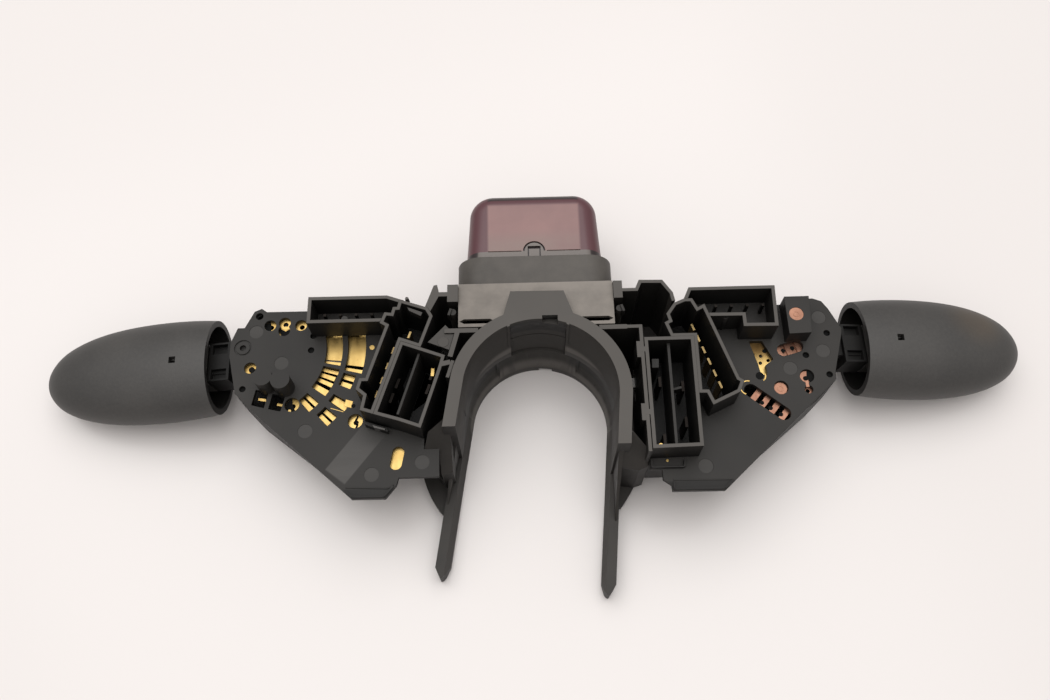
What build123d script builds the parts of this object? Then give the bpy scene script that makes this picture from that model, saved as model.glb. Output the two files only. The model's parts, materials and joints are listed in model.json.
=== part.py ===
from build123d import *
from math import atan2, cos, degrees, hypot, radians, sin, tan
import os

# Combination stalk switch for a steering column: a carrier that clamps on the column, two lever
# switches with their connectors and relay sockets, and a hazard switch.
# Units are millimetres.  +Z runs along the column from the steering wheel side (Z = 0) to the rear,
# +Y points to the hazard button and +X to the indicator lever.  The origin is on the column axis.

os.makedirs("parts", exist_ok=True)

# ------------------------------------------------------------------ fits and gaps
RUN_FIT = 0.05          # radial running clearance of pins, trunnions and plungers
LAP = 1.0               # overlap where bodies of one moulding are joined
SIDE_GAP = 0.3          # free gap beside moving pieces

# ------------------------------------------------------------------ levels along the column
CARRIER_FRONT = 2.0     # front face of the carrier's flange
FLANGE_T = 3.0
COVER_FRONT = 12.0      # front face of the lever switch covers
COVER_T = 2.0
PLATE_REAR = 32.0       # rear face of the contact plates
PLATE_T = 2.0
SOCKET_RIM = 44.0       # open end of every connector and relay socket
SOCKET_FLOOR = 20.0     # underside of the deep sockets
SOCKET_FLOOR_T = 2.0
FRAME_TOP = 44.0        # rear edge of the carrier's walls
RING_TOP = 46.0

PLATE_FRONT = PLATE_REAR - PLATE_T
COVER_REAR = COVER_FRONT + COVER_T
FLANGE_REAR = CARRIER_FRONT + FLANGE_T

# ------------------------------------------------------------------ column saddle and clamp legs
BORE_R = 27.0           # column tube seat
RING_IN_R = 28.5        # inside of the wall above and between the seats
RING_OUT_R = 33.2
LEAN = {"left": 8.45, "right": 5.58}          # degrees; both straight sides lean towards -X
SEAT_FRONT_H = 3.5      # front seat height
FUNNEL_TOP = 9.0        # the front seat widens to the wall up to here
PAD_X = (-15.8, 15.0)   # the seat widens more slowly between these places
PAD_TOP = 17.0
SEAT_REAR_Z = 20.0      # rear seat, lower edge
SEAT_REAR_H = 5.0
SEAT_REAR_FUNNEL = 31.0
SEAT_FADE_Y = 2.0       # the rear seat runs out into the wall here
WALL_END = {"left": -13.0, "right": -20.9}    # the high wall stops here and the legs go on
POCKET_X = (-10.7, 10.4)
POCKET_R = 29.5
POCKET_LEDGE = 0.25     # step in the pocket's back
POCKET_LEDGE_Z = 30.2
POCKET_TOP = 41.0
JAMB_W = 1.0            # ribs beside the pocket and the front pad
JAMB_H = 0.5
KEEP = 0.3              # overlap that joins a rib to the wall
LEG_BOTTOM = 1.0
LEG_TOP = FUNNEL_TOP
LEG_W = 3.7
LEG_END = {"left": -59.2, "right": -67.0}
LEG_TIP_OUT = 4.0       # the outer side bends in here, from the end
LEG_TIP_IN = 5.0        # and the inner side here
LEG_TIP = [(2.9, 0.0), (2.0, 0.3), (1.2, 1.3)]    # blunt tip: from the bore's line, and from the end
LEG_ROOT_Y = -6.0       # the legs start inside the wall
RIB_ROOT = 0.5          # the ribs start inside the wall
RIB_TOP = {"left": 25.0, "right": 38.0}       # rib height where the high wall stops
RIB_END = {"left": -31.5, "right": -39.5}
RIB_OFFSETS = {"left": [(1.2, 3.3), (2.5, 3.0)], "right": [(0.9, 2.7), (2.4, 2.9)]}   # at each end of the rib
TAB = [(-10.3, 40.3), (9.8, 40.1), (13.5, 29.0), (13.0, 26), (-13.0, 26), (-13.7, 28.4)]
TAB_T = 3.8
TAB_NOTCH = [(1.4, 20.0), (7.2, 29.9)]            # key notch in the rear rim
SEAT_NOTCH = [(0.2, 20.0), (5.7, 28.7)]           # key notch in the front seat

# ------------------------------------------------------------------ carrier flange and walls
FLANGE_LEFT_ARC = [(-38.2, -34.7), (-43.4, -26.8), (-46.4, -18.4)]
FLANGE_RIGHT_ARC = [(38.7, -18.6), (35.1, -26.0), (30.2, -33.2)]
FLANGE_REST = [(-48.5, -8), (-48.5, 22), (-44.5, 34), (-42.6, 45), (-30, 47), (30, 47), (40, 45),
               (52, 44.6), (52.4, 22), (46, -6)]
FRAME_T = 1.8
RIGHT_WALL_X = 38.0     # centre of the wall beside the indicator relay socket
WALL_T = 1.3
BRIDGE_Y = 40.8
LEFT_FRAME = [(-35.2, 25.4), (-30.2, 25.4), (-33.0, 14.9)]
RIGHT_FRAME = [(31.5, 25.4), (RIGHT_WALL_X, 25.4), (RIGHT_WALL_X, -23.4)]
CENTRE_FRAMES = [[(-35.0, 25.4), (-22.6, 25.4)], [(22.6, 25.4), (33.0, 25.4)]]
RIGHT_POCKET = [(37.6, BRIDGE_Y), (39.1, 44.2), (47.3, 44.0), (50.6, 39.0), (51.2, 35.6)]
LEFT_FIN = [(-39.5, 44.6), (-38.2, 44.9), (-37.2, 40.6), (-40.6, 33.8), (-42.9, 34.9)]
RAIL_W = (4.1, 3.4)     # wings beside the hazard box, left and right
RAIL_Y = (37.5, 44.8)
HOOK_AT = (2.15, 34.4)  # from the side of the base, and along Y
HOOK_R = 1.3
LEFT_BRIDGE_X = -38.0
LEFT_WEB = [(-34.9, 28.2), (-41.4, 21.3), (-33.4, 18.0), (-31.7, 24.4)]
WEB_TOP = 43.2
WEB_T = 1.5
GUSSETS = [[(-33.0, -7.6), (-41.2, -12.2), (-42.9, -16.4), (-37.0, -24.0), (-33.2, -23.0)],
           [(31.0, -14.8), (37.4, -19.6), (38.6, -20.0), (38.6, -24.6), (35.4, -25.6), (28.4, -24.6)]]
GUSSET_SLOPES = [(-8.0, 44.0, -24.0, 22.0), (-16.0, 44.0, -25.6, 28.0)]      # Y and Z at each end
POSTS = [(-44.6, -5.0), (-44.3, 25.0), (43.5, -3.0), (49.6, 23.0)]
POST_R = 2.5
HAZARD_POST_IN = 6.2    # from the sides of the hazard base
HAZARD_POST_Y = (32.5, 42.0)

# ------------------------------------------------------------------ hazard switch
HAZ_X = -0.7            # centre of the hazard switch
HAZ_BASE_W = 59.0
HAZ_BASE_Y = (27.7, 45.9)
HAZ_Z = (12.0, 42.0)
HAZ_WALL = 1.6
HAZ_END_T = 1.4         # end frame that the collar stands on
HAZ_RING_GAP = 0.4      # the base is scooped out round the ring
COLLAR_PROUD = 0.7      # the collar stands out this far past the base on each side
COLLAR_Y = 58.2
COLLAR_Z = (12.6, 41.2)
COLLAR_R = 9.6
COLLAR_WALL = 2.5
BUTTON_GAP = 0.4        # button to collar, all round
BUTTON_TOP_Y = 90.0
BUTTON_SKIRT_Y = 51.5
BUTTON_WALL = 2.0
BUTTON_CORNER = 9.6     # corners of the pressed end
BUTTON_TAPER = 2.2      # each side narrows this much towards the end
BUTTON_TRAVEL = 4.5
BUTTON_EDGE = COLLAR_R - COLLAR_WALL - BUTTON_GAP
LATCH_W = 5.1           # slotted latch tongue beside the collar
LATCH_Y = (57.4, 64.2)
LATCH_SLOT = (0.5, 1.3)           # slot width beside and beyond the tongue
ARCH_R = 4.4
ARCH_W = 0.7            # arched line round the latch
LINE_W = 0.4            # seam in the button's face
LINE_DEPTH = 1.0
SEAM_GAP = 3.8          # collar edge to the seam and the arch's centre
SEAM_X = (5.0, 18.2)    # from the button's middle
GROOVE_Y = 30.0
GROOVE_HALF_W = 0.95
GROOVE_POINT = 1.8
GROOVE_DEPTH = 1.6
GROOVE_MARGIN = 0.4     # from the side of the base
GROOVE_LENGTH = 13.4
HAZ_PLUNGER_W = 30.0
HAZ_PLUNGER_D = 12.0
HAZ_PLUNGER_Y = (43.0, 52.5)
HAZ_BRIDGE = (24.0, 4.0, 0.5)     # contact bridge: length, width, thickness
HAZ_STRIP_W = 3.2
HAZ_STRIP_X = (-10.0, -3.4, 3.4, 10.0)
HAZ_STRIP_START = 1.0             # fixed contacts start this far from the curved wall
HAZ_STRIP_END = 44.2
HAZ_RISE = (40.4, 41.0)           # upright part of each fixed contact, along Y
HAZ_SPRING_R = 3.0
HAZ_WIRE_R = 0.35
HAZ_SPRING_X = 9.0
HAZ_SPRING_BORE = 7.0
HAZ_SPRING_TURNS = 6
LAMP_R = 2.5
LAMP_Y = (57.0, 67.0)
LAMP_HOLDER_WALL = 0.6
LAMP_GAP = 0.6          # lamp holder to plunger, all round

# ------------------------------------------------------------------ lever switches
WIPER_PIVOT = (-107.5, 24.0)
INDICATOR_PIVOT = (105.8, 24.5)
PIVOT_Z = 22.0
SWITCH_WALL = 1.6
TRUNNION_R = 3.2
TRUNNION_DEPTH = 1.0
ROTOR_R = 10.0
ROTOR_CHEEK = (5.2, 8.6)
ROTOR_HALF_U = 7.0
ROTOR_BRIDGE_T = 2.0
PIN_R = 1.5
LEVER_HALF_W = 5.0
LEVER_HALF_H = 4.0
LEVER_INNER = 15.0      # lever end inside the switch, from the pivot
PLUNGER_R = 2.05
PLUNGER_TAIL = 12.5
SPRING_BORE_END = 7.0
CAM_R = (19.9, 21.9)
PLUNGER_TIP = CAM_R[0] - SIDE_GAP
CAM_HALF_ANGLE = 33.0
CAM_TOP = 26.6
DETENT_R = 1.6
SLIDER_R = (11.6, 16.4)
SLIDER_HALF_ANGLE = 32.0
SLIDER_T = 2.0
SLIDER_STEM_R = 1.5
SLIDER_STEM_AT = 14.0
ARM_T = 1.1
FINGER_T = 0.5
TRACK_T = 0.6
WIPER_ARM = 40.5
INDICATOR_ARM = 32.0
ARM_HALF_W = (7.0, 3.0)           # at the rotor and at the end
ARM_ROOT = 4.0
FINGER_GAP = 0.2        # fingers to the tracks
FINGER_HALF_W = 2.4
FINGER_FROM = 20.5
FINGER_SLOTS = (-1.0, 0.6)
FINGER_SLOT_W = 0.4
FINGER_SLOT_FROM = 24.0
TRUNNION_END = 0.1      # rear trunnion stops short of its bearing's floor
PIN_END = 0.4           # pivot pin stops short of the rotor's sides
SPRING_R = 1.3          # detent springs
SPRING_WIRE_R = 0.3
SPRING_TURNS = 5
DETENT_CENTRE = 0.9     # centre of each detent groove outside the cam's inner face
STALK_WINDOW = (4.0, 20.0, 12.5)  # from the pivot, to, and half width
SCREW_BOSS_R = 3.0
SCREW_HOLE_R = 1.2
SCREW_DEPTH = 12.0
SCREW_PLAY = 0.2        # screws in the cover's holes
SCREW_END = 1.0         # screws stop short of the hole's bottom
SCREW_HEAD_R = 2.6
SCREW_HEAD_H = 1.6
SCREW_SINK = 0.6        # head seats below the cover's face
SCREW_CROSS = (4.0, 0.7, 0.8)     # cross recess: length, width, depth
BOSS_GAP = 0.6          # screw bosses to the contact tracks
SCREWS = {"wiper": [(-100.5, 36.6), (-92.5, -8.0), (-70.5, -19.5)],
          "indicator": [(105.0, 37.3), (97.0, -1.5), (61.8, -22.0)]}
COVER_RIB_T = 1.2
COVER_RIB_H = 1.2
COVER_RIBS = {"wiper": [[(-112, 12), (-70, -26)], [(-95, 38), (-95, 2)],
                        [(-80, 38), (-80, -14)], [(-65, 24), (-65, -26)]],
              "indicator": [[(108, 10), (70, -26)], [(92, 36), (92, -2)],
                            [(78, 36), (78, -16)], [(67, 34), (67, -26)]]}
LEVER_DROOP = 7.0       # degrees that the stalk leans towards the steering wheel


def along(a, b, share):
    """The point at a share of the way from a to b."""
    return (a[0] + (b[0] - a[0]) * share, a[1] + (b[1] - a[1]) * share)


# deep sockets, seen from the rear; neighbours share their corners
WIPER_RELAY = [(-51.4, 21.8), (-34.8, 15.6), (-36.2, 10.2), (-43.2, -12.6), (-51.4, -9.6), (-60.5, -6.8)]
WIPER_CONNECTOR = [(-52.5, 39.2), (-41.6, 35.4), (-39.6, 31.8), along(WIPER_RELAY[0], WIPER_RELAY[1], 0.45),
                   WIPER_RELAY[0], WIPER_RELAY[5], (-65.4, -5.2), (-64.4, 0.4), (-67.3, 2.9), (-66.2, 7.3),
                   (-63.9, 7.3), (-57.4, 28.1), (-59.6, 29.4), (-57.9, 33.9),
                   (-55.4, 33.5), (-54.8, 36.0), (-53.2, 36.0)]
INDICATOR_RELAY = [(39.0, 20.8), (57.5, 20.8), (57.0, -21.9), (39.0, -22.3)]
INDICATOR_CONNECTOR = [(51.2, 34.8), (55.2, 36.5), (58.3, 36.5), (60.1, 32.7), (62.7, 34.1), (72.5, 3.8),
                       (74.2, 2.6), (72.2, -1.8), (61.9, -6.6), (60.1, -1.9),
                       along(INDICATOR_RELAY[1], INDICATOR_RELAY[2], 0.53), INDICATOR_RELAY[1],
                       along(INDICATOR_RELAY[0], INDICATOR_RELAY[1], 0.54), (47.0, 26.7), (48.7, 27.6),
                       (48.0, 30.3)]

# outlines of the two lever switches, seen from the rear
WIPER_OUTLINE = [(-118.7, 28.4), (-116.5, 34.4), (-113.9, 34.4), (-110.6, 41.4), (-107.9, 42.6),
                 (-105.8, 41.1), (-87.0, 41.0), (-57.1, 40.9), WIPER_CONNECTOR[0], WIPER_CONNECTOR[1],
                 WIPER_CONNECTOR[2], WIPER_CONNECTOR[3], WIPER_RELAY[1], WIPER_RELAY[2], WIPER_RELAY[3],
                 (-43.2, -16.6), (-37.6, -16.6), (-37.6, -27.1), (-52.2, -27.1), (-53.0, -30.0),
                 (-56.8, -34.7), (-68.9, -34.6), (-107.1, -0.9), (-115.1, 7.4), (-118.6, 22.6)]
INDICATOR_OUTLINE = [(116.8, 28.0), (112.9, 36.6), (110.8, 39.8), (107.6, 41.1), (101.2, 41.1), (98.9, 38.7),
                     (90.0, 38.7), (90.0, 41.1), (57.3, 41.1), INDICATOR_CONNECTOR[1], INDICATOR_CONNECTOR[0],
                     INDICATOR_CONNECTOR[15], INDICATOR_CONNECTOR[14], INDICATOR_CONNECTOR[13],
                     INDICATOR_CONNECTOR[12], INDICATOR_RELAY[0], INDICATOR_RELAY[3], (39.0, -26.5),
                     (43.4, -26.9), (43.4, -30.2), (46.3, -32.4), (46.5, -34.6), (65.5, -34.7), (103.6, -0.7),
                     (111.7, 7.0), (111.9, 10.4), (116.4, 25.4)]

# outlines of their housings and covers, set back from the plates' lower edges
WIPER_BODY = (WIPER_OUTLINE[:15] + [(-43.2, -14.4), (-50.0, -13.4), (-61.0, -13.4), (-61.0, -27.0),
                                    (-74.0, -27.0)] + WIPER_OUTLINE[22:])
INDICATOR_BODY = (INDICATOR_OUTLINE[:17] + [(39.0, -23.8), (52.0, -23.8), (52.0, -27.0), (71.0, -27.0)]
                  + INDICATOR_OUTLINE[23:])

# shallow shrouds along the upper edge; they end against the slanted connectors
WIPER_TOP_BOX = [(-87.0, 41.0), (-57.1, 40.9), (-50.5, 38.5), (-50.5, 34.5), (-56.0, 30.0), (-87.0, 30.0)]
INDICATOR_TOP_BOX = [(57.3, 41.1), (90.0, 41.1), (89.4, 24.1), (76.4, 24.3), (76.4, 28.7), (61.0, 28.9),
                     (57.0, 33.0), (55.2, 36.5)]
SOCKET_WALL = 1.3

# contact tracks of the wiper switch round its pivot: inner radius, outer radius, first angle, last angle
WIPER_WINDOWS = [(26.0, 32.3, -11.5, 15.0), (34.3, 41.2, -14.0, 11.0), (26.0, 32.6, -35.0, -14.2),
                 (34.4, 39.4, -24.3, -15.8), (26.3, 32.6, -50.0, -41.0), (34.8, 42.4, -36.5, -31.0),
                 (35.4, 41.7, -47.5, -40.5)]
WIPER_TRACKS = [(25.4, 32.3, -6.6, 16.0), (25.4, 32.3, -11.2, -8.0), (34.3, 41.8, -9.0, 12.0),
                (34.3, 41.8, -13.7, -11.0), (25.4, 32.3, -17.4, -14.6), (25.4, 31.6, -22.4, -19.2),
                (25.4, 32.0, -27.2, -24.2), (25.4, 33.2, -34.6, -30.0), (34.6, 39.8, -18.8, -16.0),
                (34.6, 39.8, -24.0, -20.6), (26.0, 33.2, -44.2, -41.2), (26.0, 33.2, -49.6, -46.0),
                (35.2, 42.6, -35.6, -31.4), (35.8, 42.2, -43.4, -40.8), (35.8, 42.2, -47.2, -44.8)]
WIPER_RINGS = [(-98.4, 36.2), (-92.0, 35.0), (-104.0, 35.2), (-98.4, 32.9), (-110.2, 17.5)]
WIPER_WIDE_RINGS = [(-93.1, 2.1), (-69.0, -5.0)]
RING_WINDOW_R = 2.3
WIDE_WINDOW_R = 2.8
RING_HOLE_R = 1.0
RING_LAP = 0.4          # each ring reaches this far under the edge of its window
WIPER_OVAL = [(-52.6, -17.6), (-53.4, -22.0)]
WIPER_HOLES = [(-86.9, 30.3), (-87.4, 24.3), (-112.3, 8.9)]
PLATE_HOLE_R = 1.25
WIPER_EAR = (-108.5, 39.3)
EAR_HOLE_R = 1.5
WIPER_BOSS = (-113.7, 25.9)
BOSS_GROOVE = (2.6, 3.4, 0.5)     # inner and outer radius, depth
BOSS_HOLE_DEPTH = 1.5
OVAL_R = 2.2
WIPER_POSTS = [(-102.7, 10.2), (-96.0, 8.8)]
WIPER_POST_R = 3.6
WIPER_POST_TOP = 41.0
WIPER_SQUARES = [[(-107.2, 8.5), (-102.2, 7.4), (-103.5, 1.0), (-108.4, 2.3)],
                 [(-100.7, 6.7), (-95.8, 5.7), (-97.2, -0.5), (-101.9, 0.6)]]
MARK_R = 2.75
MARK_DEPTH = 0.15
WIPER_MARKS = [(-109.2, 32.6), (-98.4, 19.2), (-62.1, -25.8), (-43.8, -21.5), (-87.4, -8.5)]

INDICATOR_SLOTS = [((79.0, 3.2), (90.2, -6.2), 2.6), ((93.4, 19.4), (98.6, 20.9), 2.5)]
INDICATOR_PADS = [((80.9, 1.6), -40.0), ((84.0, -1.0), -40.0), ((87.2, -3.7), -40.0), ((90.4, -6.4), -40.0),
                  ((92.2, 19.1), 16.0), ((96.0, 20.1), 16.0), ((99.9, 21.2), 16.0)]
PAD_SIZE = (2.2, 6.4)
INDICATOR_RIVETS = [(90.5, 4.1), (100.8, 8.5)]
RIVET_R = 2.7
RIVET_H = 0.9           # rivet head over the tracks
RIVET_SINK = (1.0, 0.2) # block rivet's seat and head under the block's face
BLADE_HOLE_R = 0.7
INDICATOR_SMALL = (100.8, 3.1)
SMALL_R = 1.6
CONTACT_LAP = 0.6       # each contact reaches this far under the edge of its window
INDICATOR_BLADE = [(79.8, 24.0), (86.0, 24.0), (89.8, 15.4), (86.4, 13.0), (86.6, 8.8),
                   (83.2, 8.8), (82.4, 13.6)]
BLADE_HOLES = [(84.9, 17.9), (82.0, 18.6), (86.6, 20.0), (87.5, 16.0), (84.4, 15.0)]
INDICATOR_HOLES = [(110.9, 26.1), (109.4, 8.9), (101.6, 17.1)]
INDICATOR_BLOCK = [(94.2, 38.2), (94.2, 22.6), (102.6, 22.9), (103.6, 38.2)]
BLOCK_TOP = 40.0
BLOCK_RIVET = (97.9, 30.8)
INDICATOR_MARKS = [(108.8, 32.9), (108.4, 18.7), (95.0, 11.8), (59.2, -25.7)]

# terminals, from the top of each connector down
WIPER_TERMINALS = [(-49.4, 28.4), (-55.4, 22.0), (-57.4, 15.6), (-59.2, 9.8), (-60.9, 4.2)]
INDICATOR_TERMINALS = [(59.2, 28.6), (60.8, 23.8), (62.4, 19.0), (64.0, 14.2), (65.6, 9.4), (67.2, 4.6)]
TERMINAL_SLANT = 17.7   # degrees that the slanted connectors lean from the Y axis
TERMINAL_SIZE = (0.8, 2.8)
TERMINAL_TOP = 35.0
TOP_PIN_COUNT = 4
TOP_PIN_TOP = 39.0
TOP_PIN_SIZE = 1.0
WIPER_TOP_PINS = ((-81.5, 35.6), (-63.5, 35.6))
INDICATOR_TOP_PINS = ((68.0, 35.4), (86.0, 35.4))
TOP_RIB_R = 1.2
TOP_RIB_DROP = 2.0
BOX_POSTS = {"wiper": (-73.2, 32.4), "indicator": (70.5, 29.6)}
WIPER_BLADES = [((-40.5, 11.0), -18.0), ((-41.8, 5.4), -18.0), ((-53.2, 8.0), -18.0), ((-55.2, 2.2), -18.0)]
INDICATOR_BLADES = [((44.6, -16.4), 0.0), ((44.6, 6.0), 0.0), ((53.0, -10.0), 0.0), ((53.0, 4.0), 0.0)]
BLADE_SIZE = (1.0, 4.0)
BLADE_TOP = 36.0
WIPER_PARTITION = [(-44.8, 17.8), (-52.1, -6.2)]
INDICATOR_PARTITION = [(48.2, 19.4), (47.9, -20.8)]
PARTITION_T = 1.0
PARTITION_TOP = 41.0
PARTITION_FOOT = SOCKET_FLOOR + SOCKET_FLOOR_T / 2

# snap joints between the switches and the carrier's walls
CLIP_STEM = 2.0
CLIP_HEAD = (1.4, 6.4)
CLIP_TOP = 44.0
CLIP_BOTTOM = 34.0
INDICATOR_CLIPS = [16.0, -8.6]
WIPER_CLIP_STEM = [(-36.6, 12.0), (-32.8, 12.8)]
WIPER_CLIP_HEAD = [(-31.9, 13.4), (-33.9, 6.6)]

# ------------------------------------------------------------------ self-cancelling pawl
PAWL_PIVOT = (77.5, 15.0)
PAWL_Z = (15.4, 18.2)
PAWL_TIP = (36.4, 13.0)
PAWL_R = 3.2
PAWL_HALF_W = 2.0
PAWL_PIN_R = 1.2
PAWL_SWING = 6.0        # degrees each way
PAWL_PIN_TOP = 2.0      # pin above the pawl
PAWL_WAY = (-3.0, 4.0)  # window in the walls, from the middle of the carrier's wall

# ------------------------------------------------------------------ stalks
MOUTH = 18.7            # mouth of the grip from the pivot, along the stalk
GRIP_LENGTH = {"wiper": 70.4, "indicator": 68.2}
GRIP_FULL = 20.0        # distance from the mouth to the widest place
GRIP_MOUTH_R = 19.3
GRIP_R = 20.7
GRIP_FLATNESS = 0.72    # height over width
GRIP_WALL = 2.4
NOSE_POWER = (2.4, 2.2)
GRIP_STATIONS = [0.0, 0.14, 0.28, 0.45, 0.61, 0.74, 0.84, 0.92, 0.97]     # shares of the grip's length
MOUTH_FLARE = 0.14      # slope of the grip's side at its mouth
TONGUE_END = 58.0
TONGUE_HALF_W = 6.0
TONGUE_HALF_H = 3.6
SLEEVE_WALL = 1.8
NECK = (12.4, 21.0)
NECK_HALF = (8.0, 5.4)
NECK_POCKET = (4.0, 5.0)          # width and height of each corner pocket
NECK_POCKET_AT = (5.2, 5.4)
NECK_RIM = 1.2          # left at both ends of a pocket
STEM_SHRINK = 0.5       # the lever between pivot and neck is this much smaller all round
STEM_FROM = 4.0
TONGUE_GROOVE = 1.0     # floor left under the tongue's groove
TONGUE_LEAD = 2.0       # solid start of the tongue
SLEEVE_GAP = 0.5        # sleeve to neck
SLEEVE_END = 2.0        # sleeve beyond the tongue
RIB_FROM = 4.0          # grip ribs start this far into the sleeve
WEB_FROM = 6.0
LATCH_OFF = -1.5        # latch window off the grip's middle
GRIP_LATCH = (12.6, 2.6)          # latch window from the mouth along the stalk, and its size
WIPER_YAW = 1.8
INDICATOR_YAW = 0.4


# ------------------------------------------------------------------ helpers
def face(points):
    """A flat face from a closed list of corners."""
    return make_face(Polyline(*points, close=True))


def prism(points, z0, z1):
    return Pos(0, 0, z0) * extrude(face(points), z1 - z0, dir=(0, 0, 1))


def slab(corner_a, corner_b, z0, z1):
    """An upright block between two opposite corners."""
    (xa, ya), (xb, yb) = corner_a, corner_b
    return Pos((xa + xb) / 2, (ya + yb) / 2, (z0 + z1) / 2) * Box(abs(xb - xa), abs(yb - ya), z1 - z0)


def rod(at, radius, z0, z1):
    return Pos(at[0], at[1], (z0 + z1) / 2) * Cylinder(radius, z1 - z0)


def wall(points, thickness, z0, z1):
    """An upright wall of even thickness along an open line."""
    strip = trace(Polyline(*points), line_width=thickness)
    return Pos(0, 0, z0) * extrude(strip, z1 - z0, dir=(0, 0, 1))


def sector(centre, r0, r1, a0, a1, z0, z1):
    """Part of a flat ring between two angles."""
    def at(r, a):
        return (centre[0] + r * cos(radians(a)), centre[1] + r * sin(radians(a)))
    mid = (a0 + a1) / 2
    edges = [ThreePointArc(at(r0, a0), at(r0, mid), at(r0, a1)), Line(at(r0, a1), at(r1, a1)),
             ThreePointArc(at(r1, a1), at(r1, mid), at(r1, a0)), Line(at(r1, a0), at(r0, a0))]
    return Pos(0, 0, z0) * extrude(make_face(edges), z1 - z0, dir=(0, 0, 1))


def capsule(a, b, radius, z0, z1):
    """A slot shape between two centres."""
    length = hypot(b[0] - a[0], b[1] - a[1])
    turn = degrees(atan2(b[1] - a[1], b[0] - a[0]))
    middle = Pos((a[0] + b[0]) / 2, (a[1] + b[1]) / 2, (z0 + z1) / 2) * Rot(0, 0, turn)
    return middle * Box(length, 2 * radius, z1 - z0) + rod(a, radius, z0, z1) + rod(b, radius, z0, z1)


def blade(at, size, turn, z0, z1):
    """A flat upright contact blade."""
    return Pos(at[0], at[1], (z0 + z1) / 2) * Rot(0, 0, turn) * Box(size[0], size[1], z1 - z0)


def between(a, b, count):
    """Evenly spaced places on a line, ends included."""
    return [(a[0] + (b[0] - a[0]) * i / (count - 1), a[1] + (b[1] - a[1]) * i / (count - 1))
            for i in range(count)]


def inset(points, amount):
    """Corners of a closed outline whose sides all move inwards by amount."""
    count = len(points)
    area = sum(points[i - 1][0] * points[i][1] - points[i][0] * points[i - 1][1] for i in range(count))
    inward = 1 if area > 0 else -1
    moved = []
    for i in range(count):
        (ax, ay), (bx, by), (cx, cy) = points[i - 1], points[i], points[(i + 1) % count]
        first = (bx - ax) / hypot(bx - ax, by - ay), (by - ay) / hypot(bx - ax, by - ay)
        last = (cx - bx) / hypot(cx - bx, cy - by), (cy - by) / hypot(cx - bx, cy - by)
        cosine = first[0] * last[0] + first[1] * last[1]
        normal = (-first[1] - last[1]) * inward, (first[0] + last[0]) * inward
        scale_by = amount / (1 + cosine)
        moved.append((bx + normal[0] * scale_by, by + normal[1] * scale_by))
    return moved


def shrunk(points, amount):
    """A closed outline moved inwards, as a face."""
    return face(inset(points, amount))


def coil(centre, direction, mean_r, wire_r, length, turns):
    """A compression spring with its axis along direction, from centre."""
    pitch = (length - 2 * wire_r) / turns
    path = Helix(pitch, pitch * turns, mean_r)
    start = Plane(origin=path @ 0, z_dir=path % 0)
    body = sweep(start * Circle(wire_r), path=path, is_frenet=True)
    return Plane(origin=centre, z_dir=direction) * (Pos(0, 0, wire_r) * body)


# ------------------------------------------------------------------ carrier
def along_leg(side, radius, y):
    """The point at height y on the straight side of a saddle."""
    lean = radians(LEAN[side])
    sign = {"left": -1, "right": 1}[side]
    return (sign * radius / cos(lean) + y * tan(lean), y)


def saddle(radius, z):
    """Face of the open saddle: round towards the hazard switch, with two straight leaning sides."""
    ends = {}
    for side, sign in (("left", -1), ("right", 1)):
        lean = radians(LEAN[side])
        ends[side] = (sign * radius * cos(lean), -sign * radius * sin(lean))
    reach = min(LEG_END.values()) - RING_OUT_R
    corners = [along_leg("right", radius, reach), along_leg("left", radius, reach)]
    line = Polyline(ends["right"], *corners, ends["left"])
    return Pos(0, 0, z) * make_face([ThreePointArc(ends["left"], (0, radius), ends["right"]), line])


def saddle_block(radius, z0, z1):
    return extrude(saddle(radius, z0), z1 - z0, dir=(0, 0, 1))


def side_prism(points, x0, x1):
    """A prism along X from corners given in Y and Z."""
    return Pos(x0, 0, 0) * extrude(Plane.YZ * face(points), x1 - x0, dir=(1, 0, 0))


def cone(z0, r0, z1, r1):
    """A frustum round the column axis."""
    return loft([Pos(0, 0, z0) * Circle(r0), Pos(0, 0, z1) * Circle(r1)], ruled=True)


def column_space():
    """Room for the column tube: the front seat, its funnel and the way behind it."""
    funnel = loft([saddle(BORE_R, SEAT_FRONT_H), saddle(RING_IN_R, FUNNEL_TOP)], ruled=True)
    return saddle_block(BORE_R, 0, SEAT_FRONT_H) + funnel + saddle_block(RING_IN_R, FUNNEL_TOP, RING_TOP)


def rear_seat():
    """Crescent that narrows the bore again and runs out at both sides."""
    root = RING_IN_R + KEEP
    shift = (BORE_R ** 2 - RING_IN_R ** 2) / (2 * (BORE_R - SEAT_FADE_Y))
    low, high = SEAT_REAR_Z, SEAT_REAR_Z + SEAT_REAR_H
    body = rod((0, 0), root, low, SEAT_REAR_FUNNEL) & slab((-root, 0), (root, root), low, SEAT_REAR_FUNNEL)
    funnel = loft([Pos(0, shift, high) * Circle(BORE_R - shift),
                   Pos(0, 0, SEAT_REAR_FUNNEL) * Circle(root + KEEP)], ruled=True)
    return body - rod((0, shift), BORE_R - shift, low, high) - funnel


def front_pad():
    """Part of the front seat whose inside widens more slowly."""
    root = RING_IN_R + KEEP
    body = rod((0, 0), root, SEAT_FRONT_H, PAD_TOP)
    body = body & slab((PAD_X[0], 0), (PAD_X[1], root), SEAT_FRONT_H, PAD_TOP)
    return body - cone(SEAT_FRONT_H, BORE_R, PAD_TOP, RING_IN_R)


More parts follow.
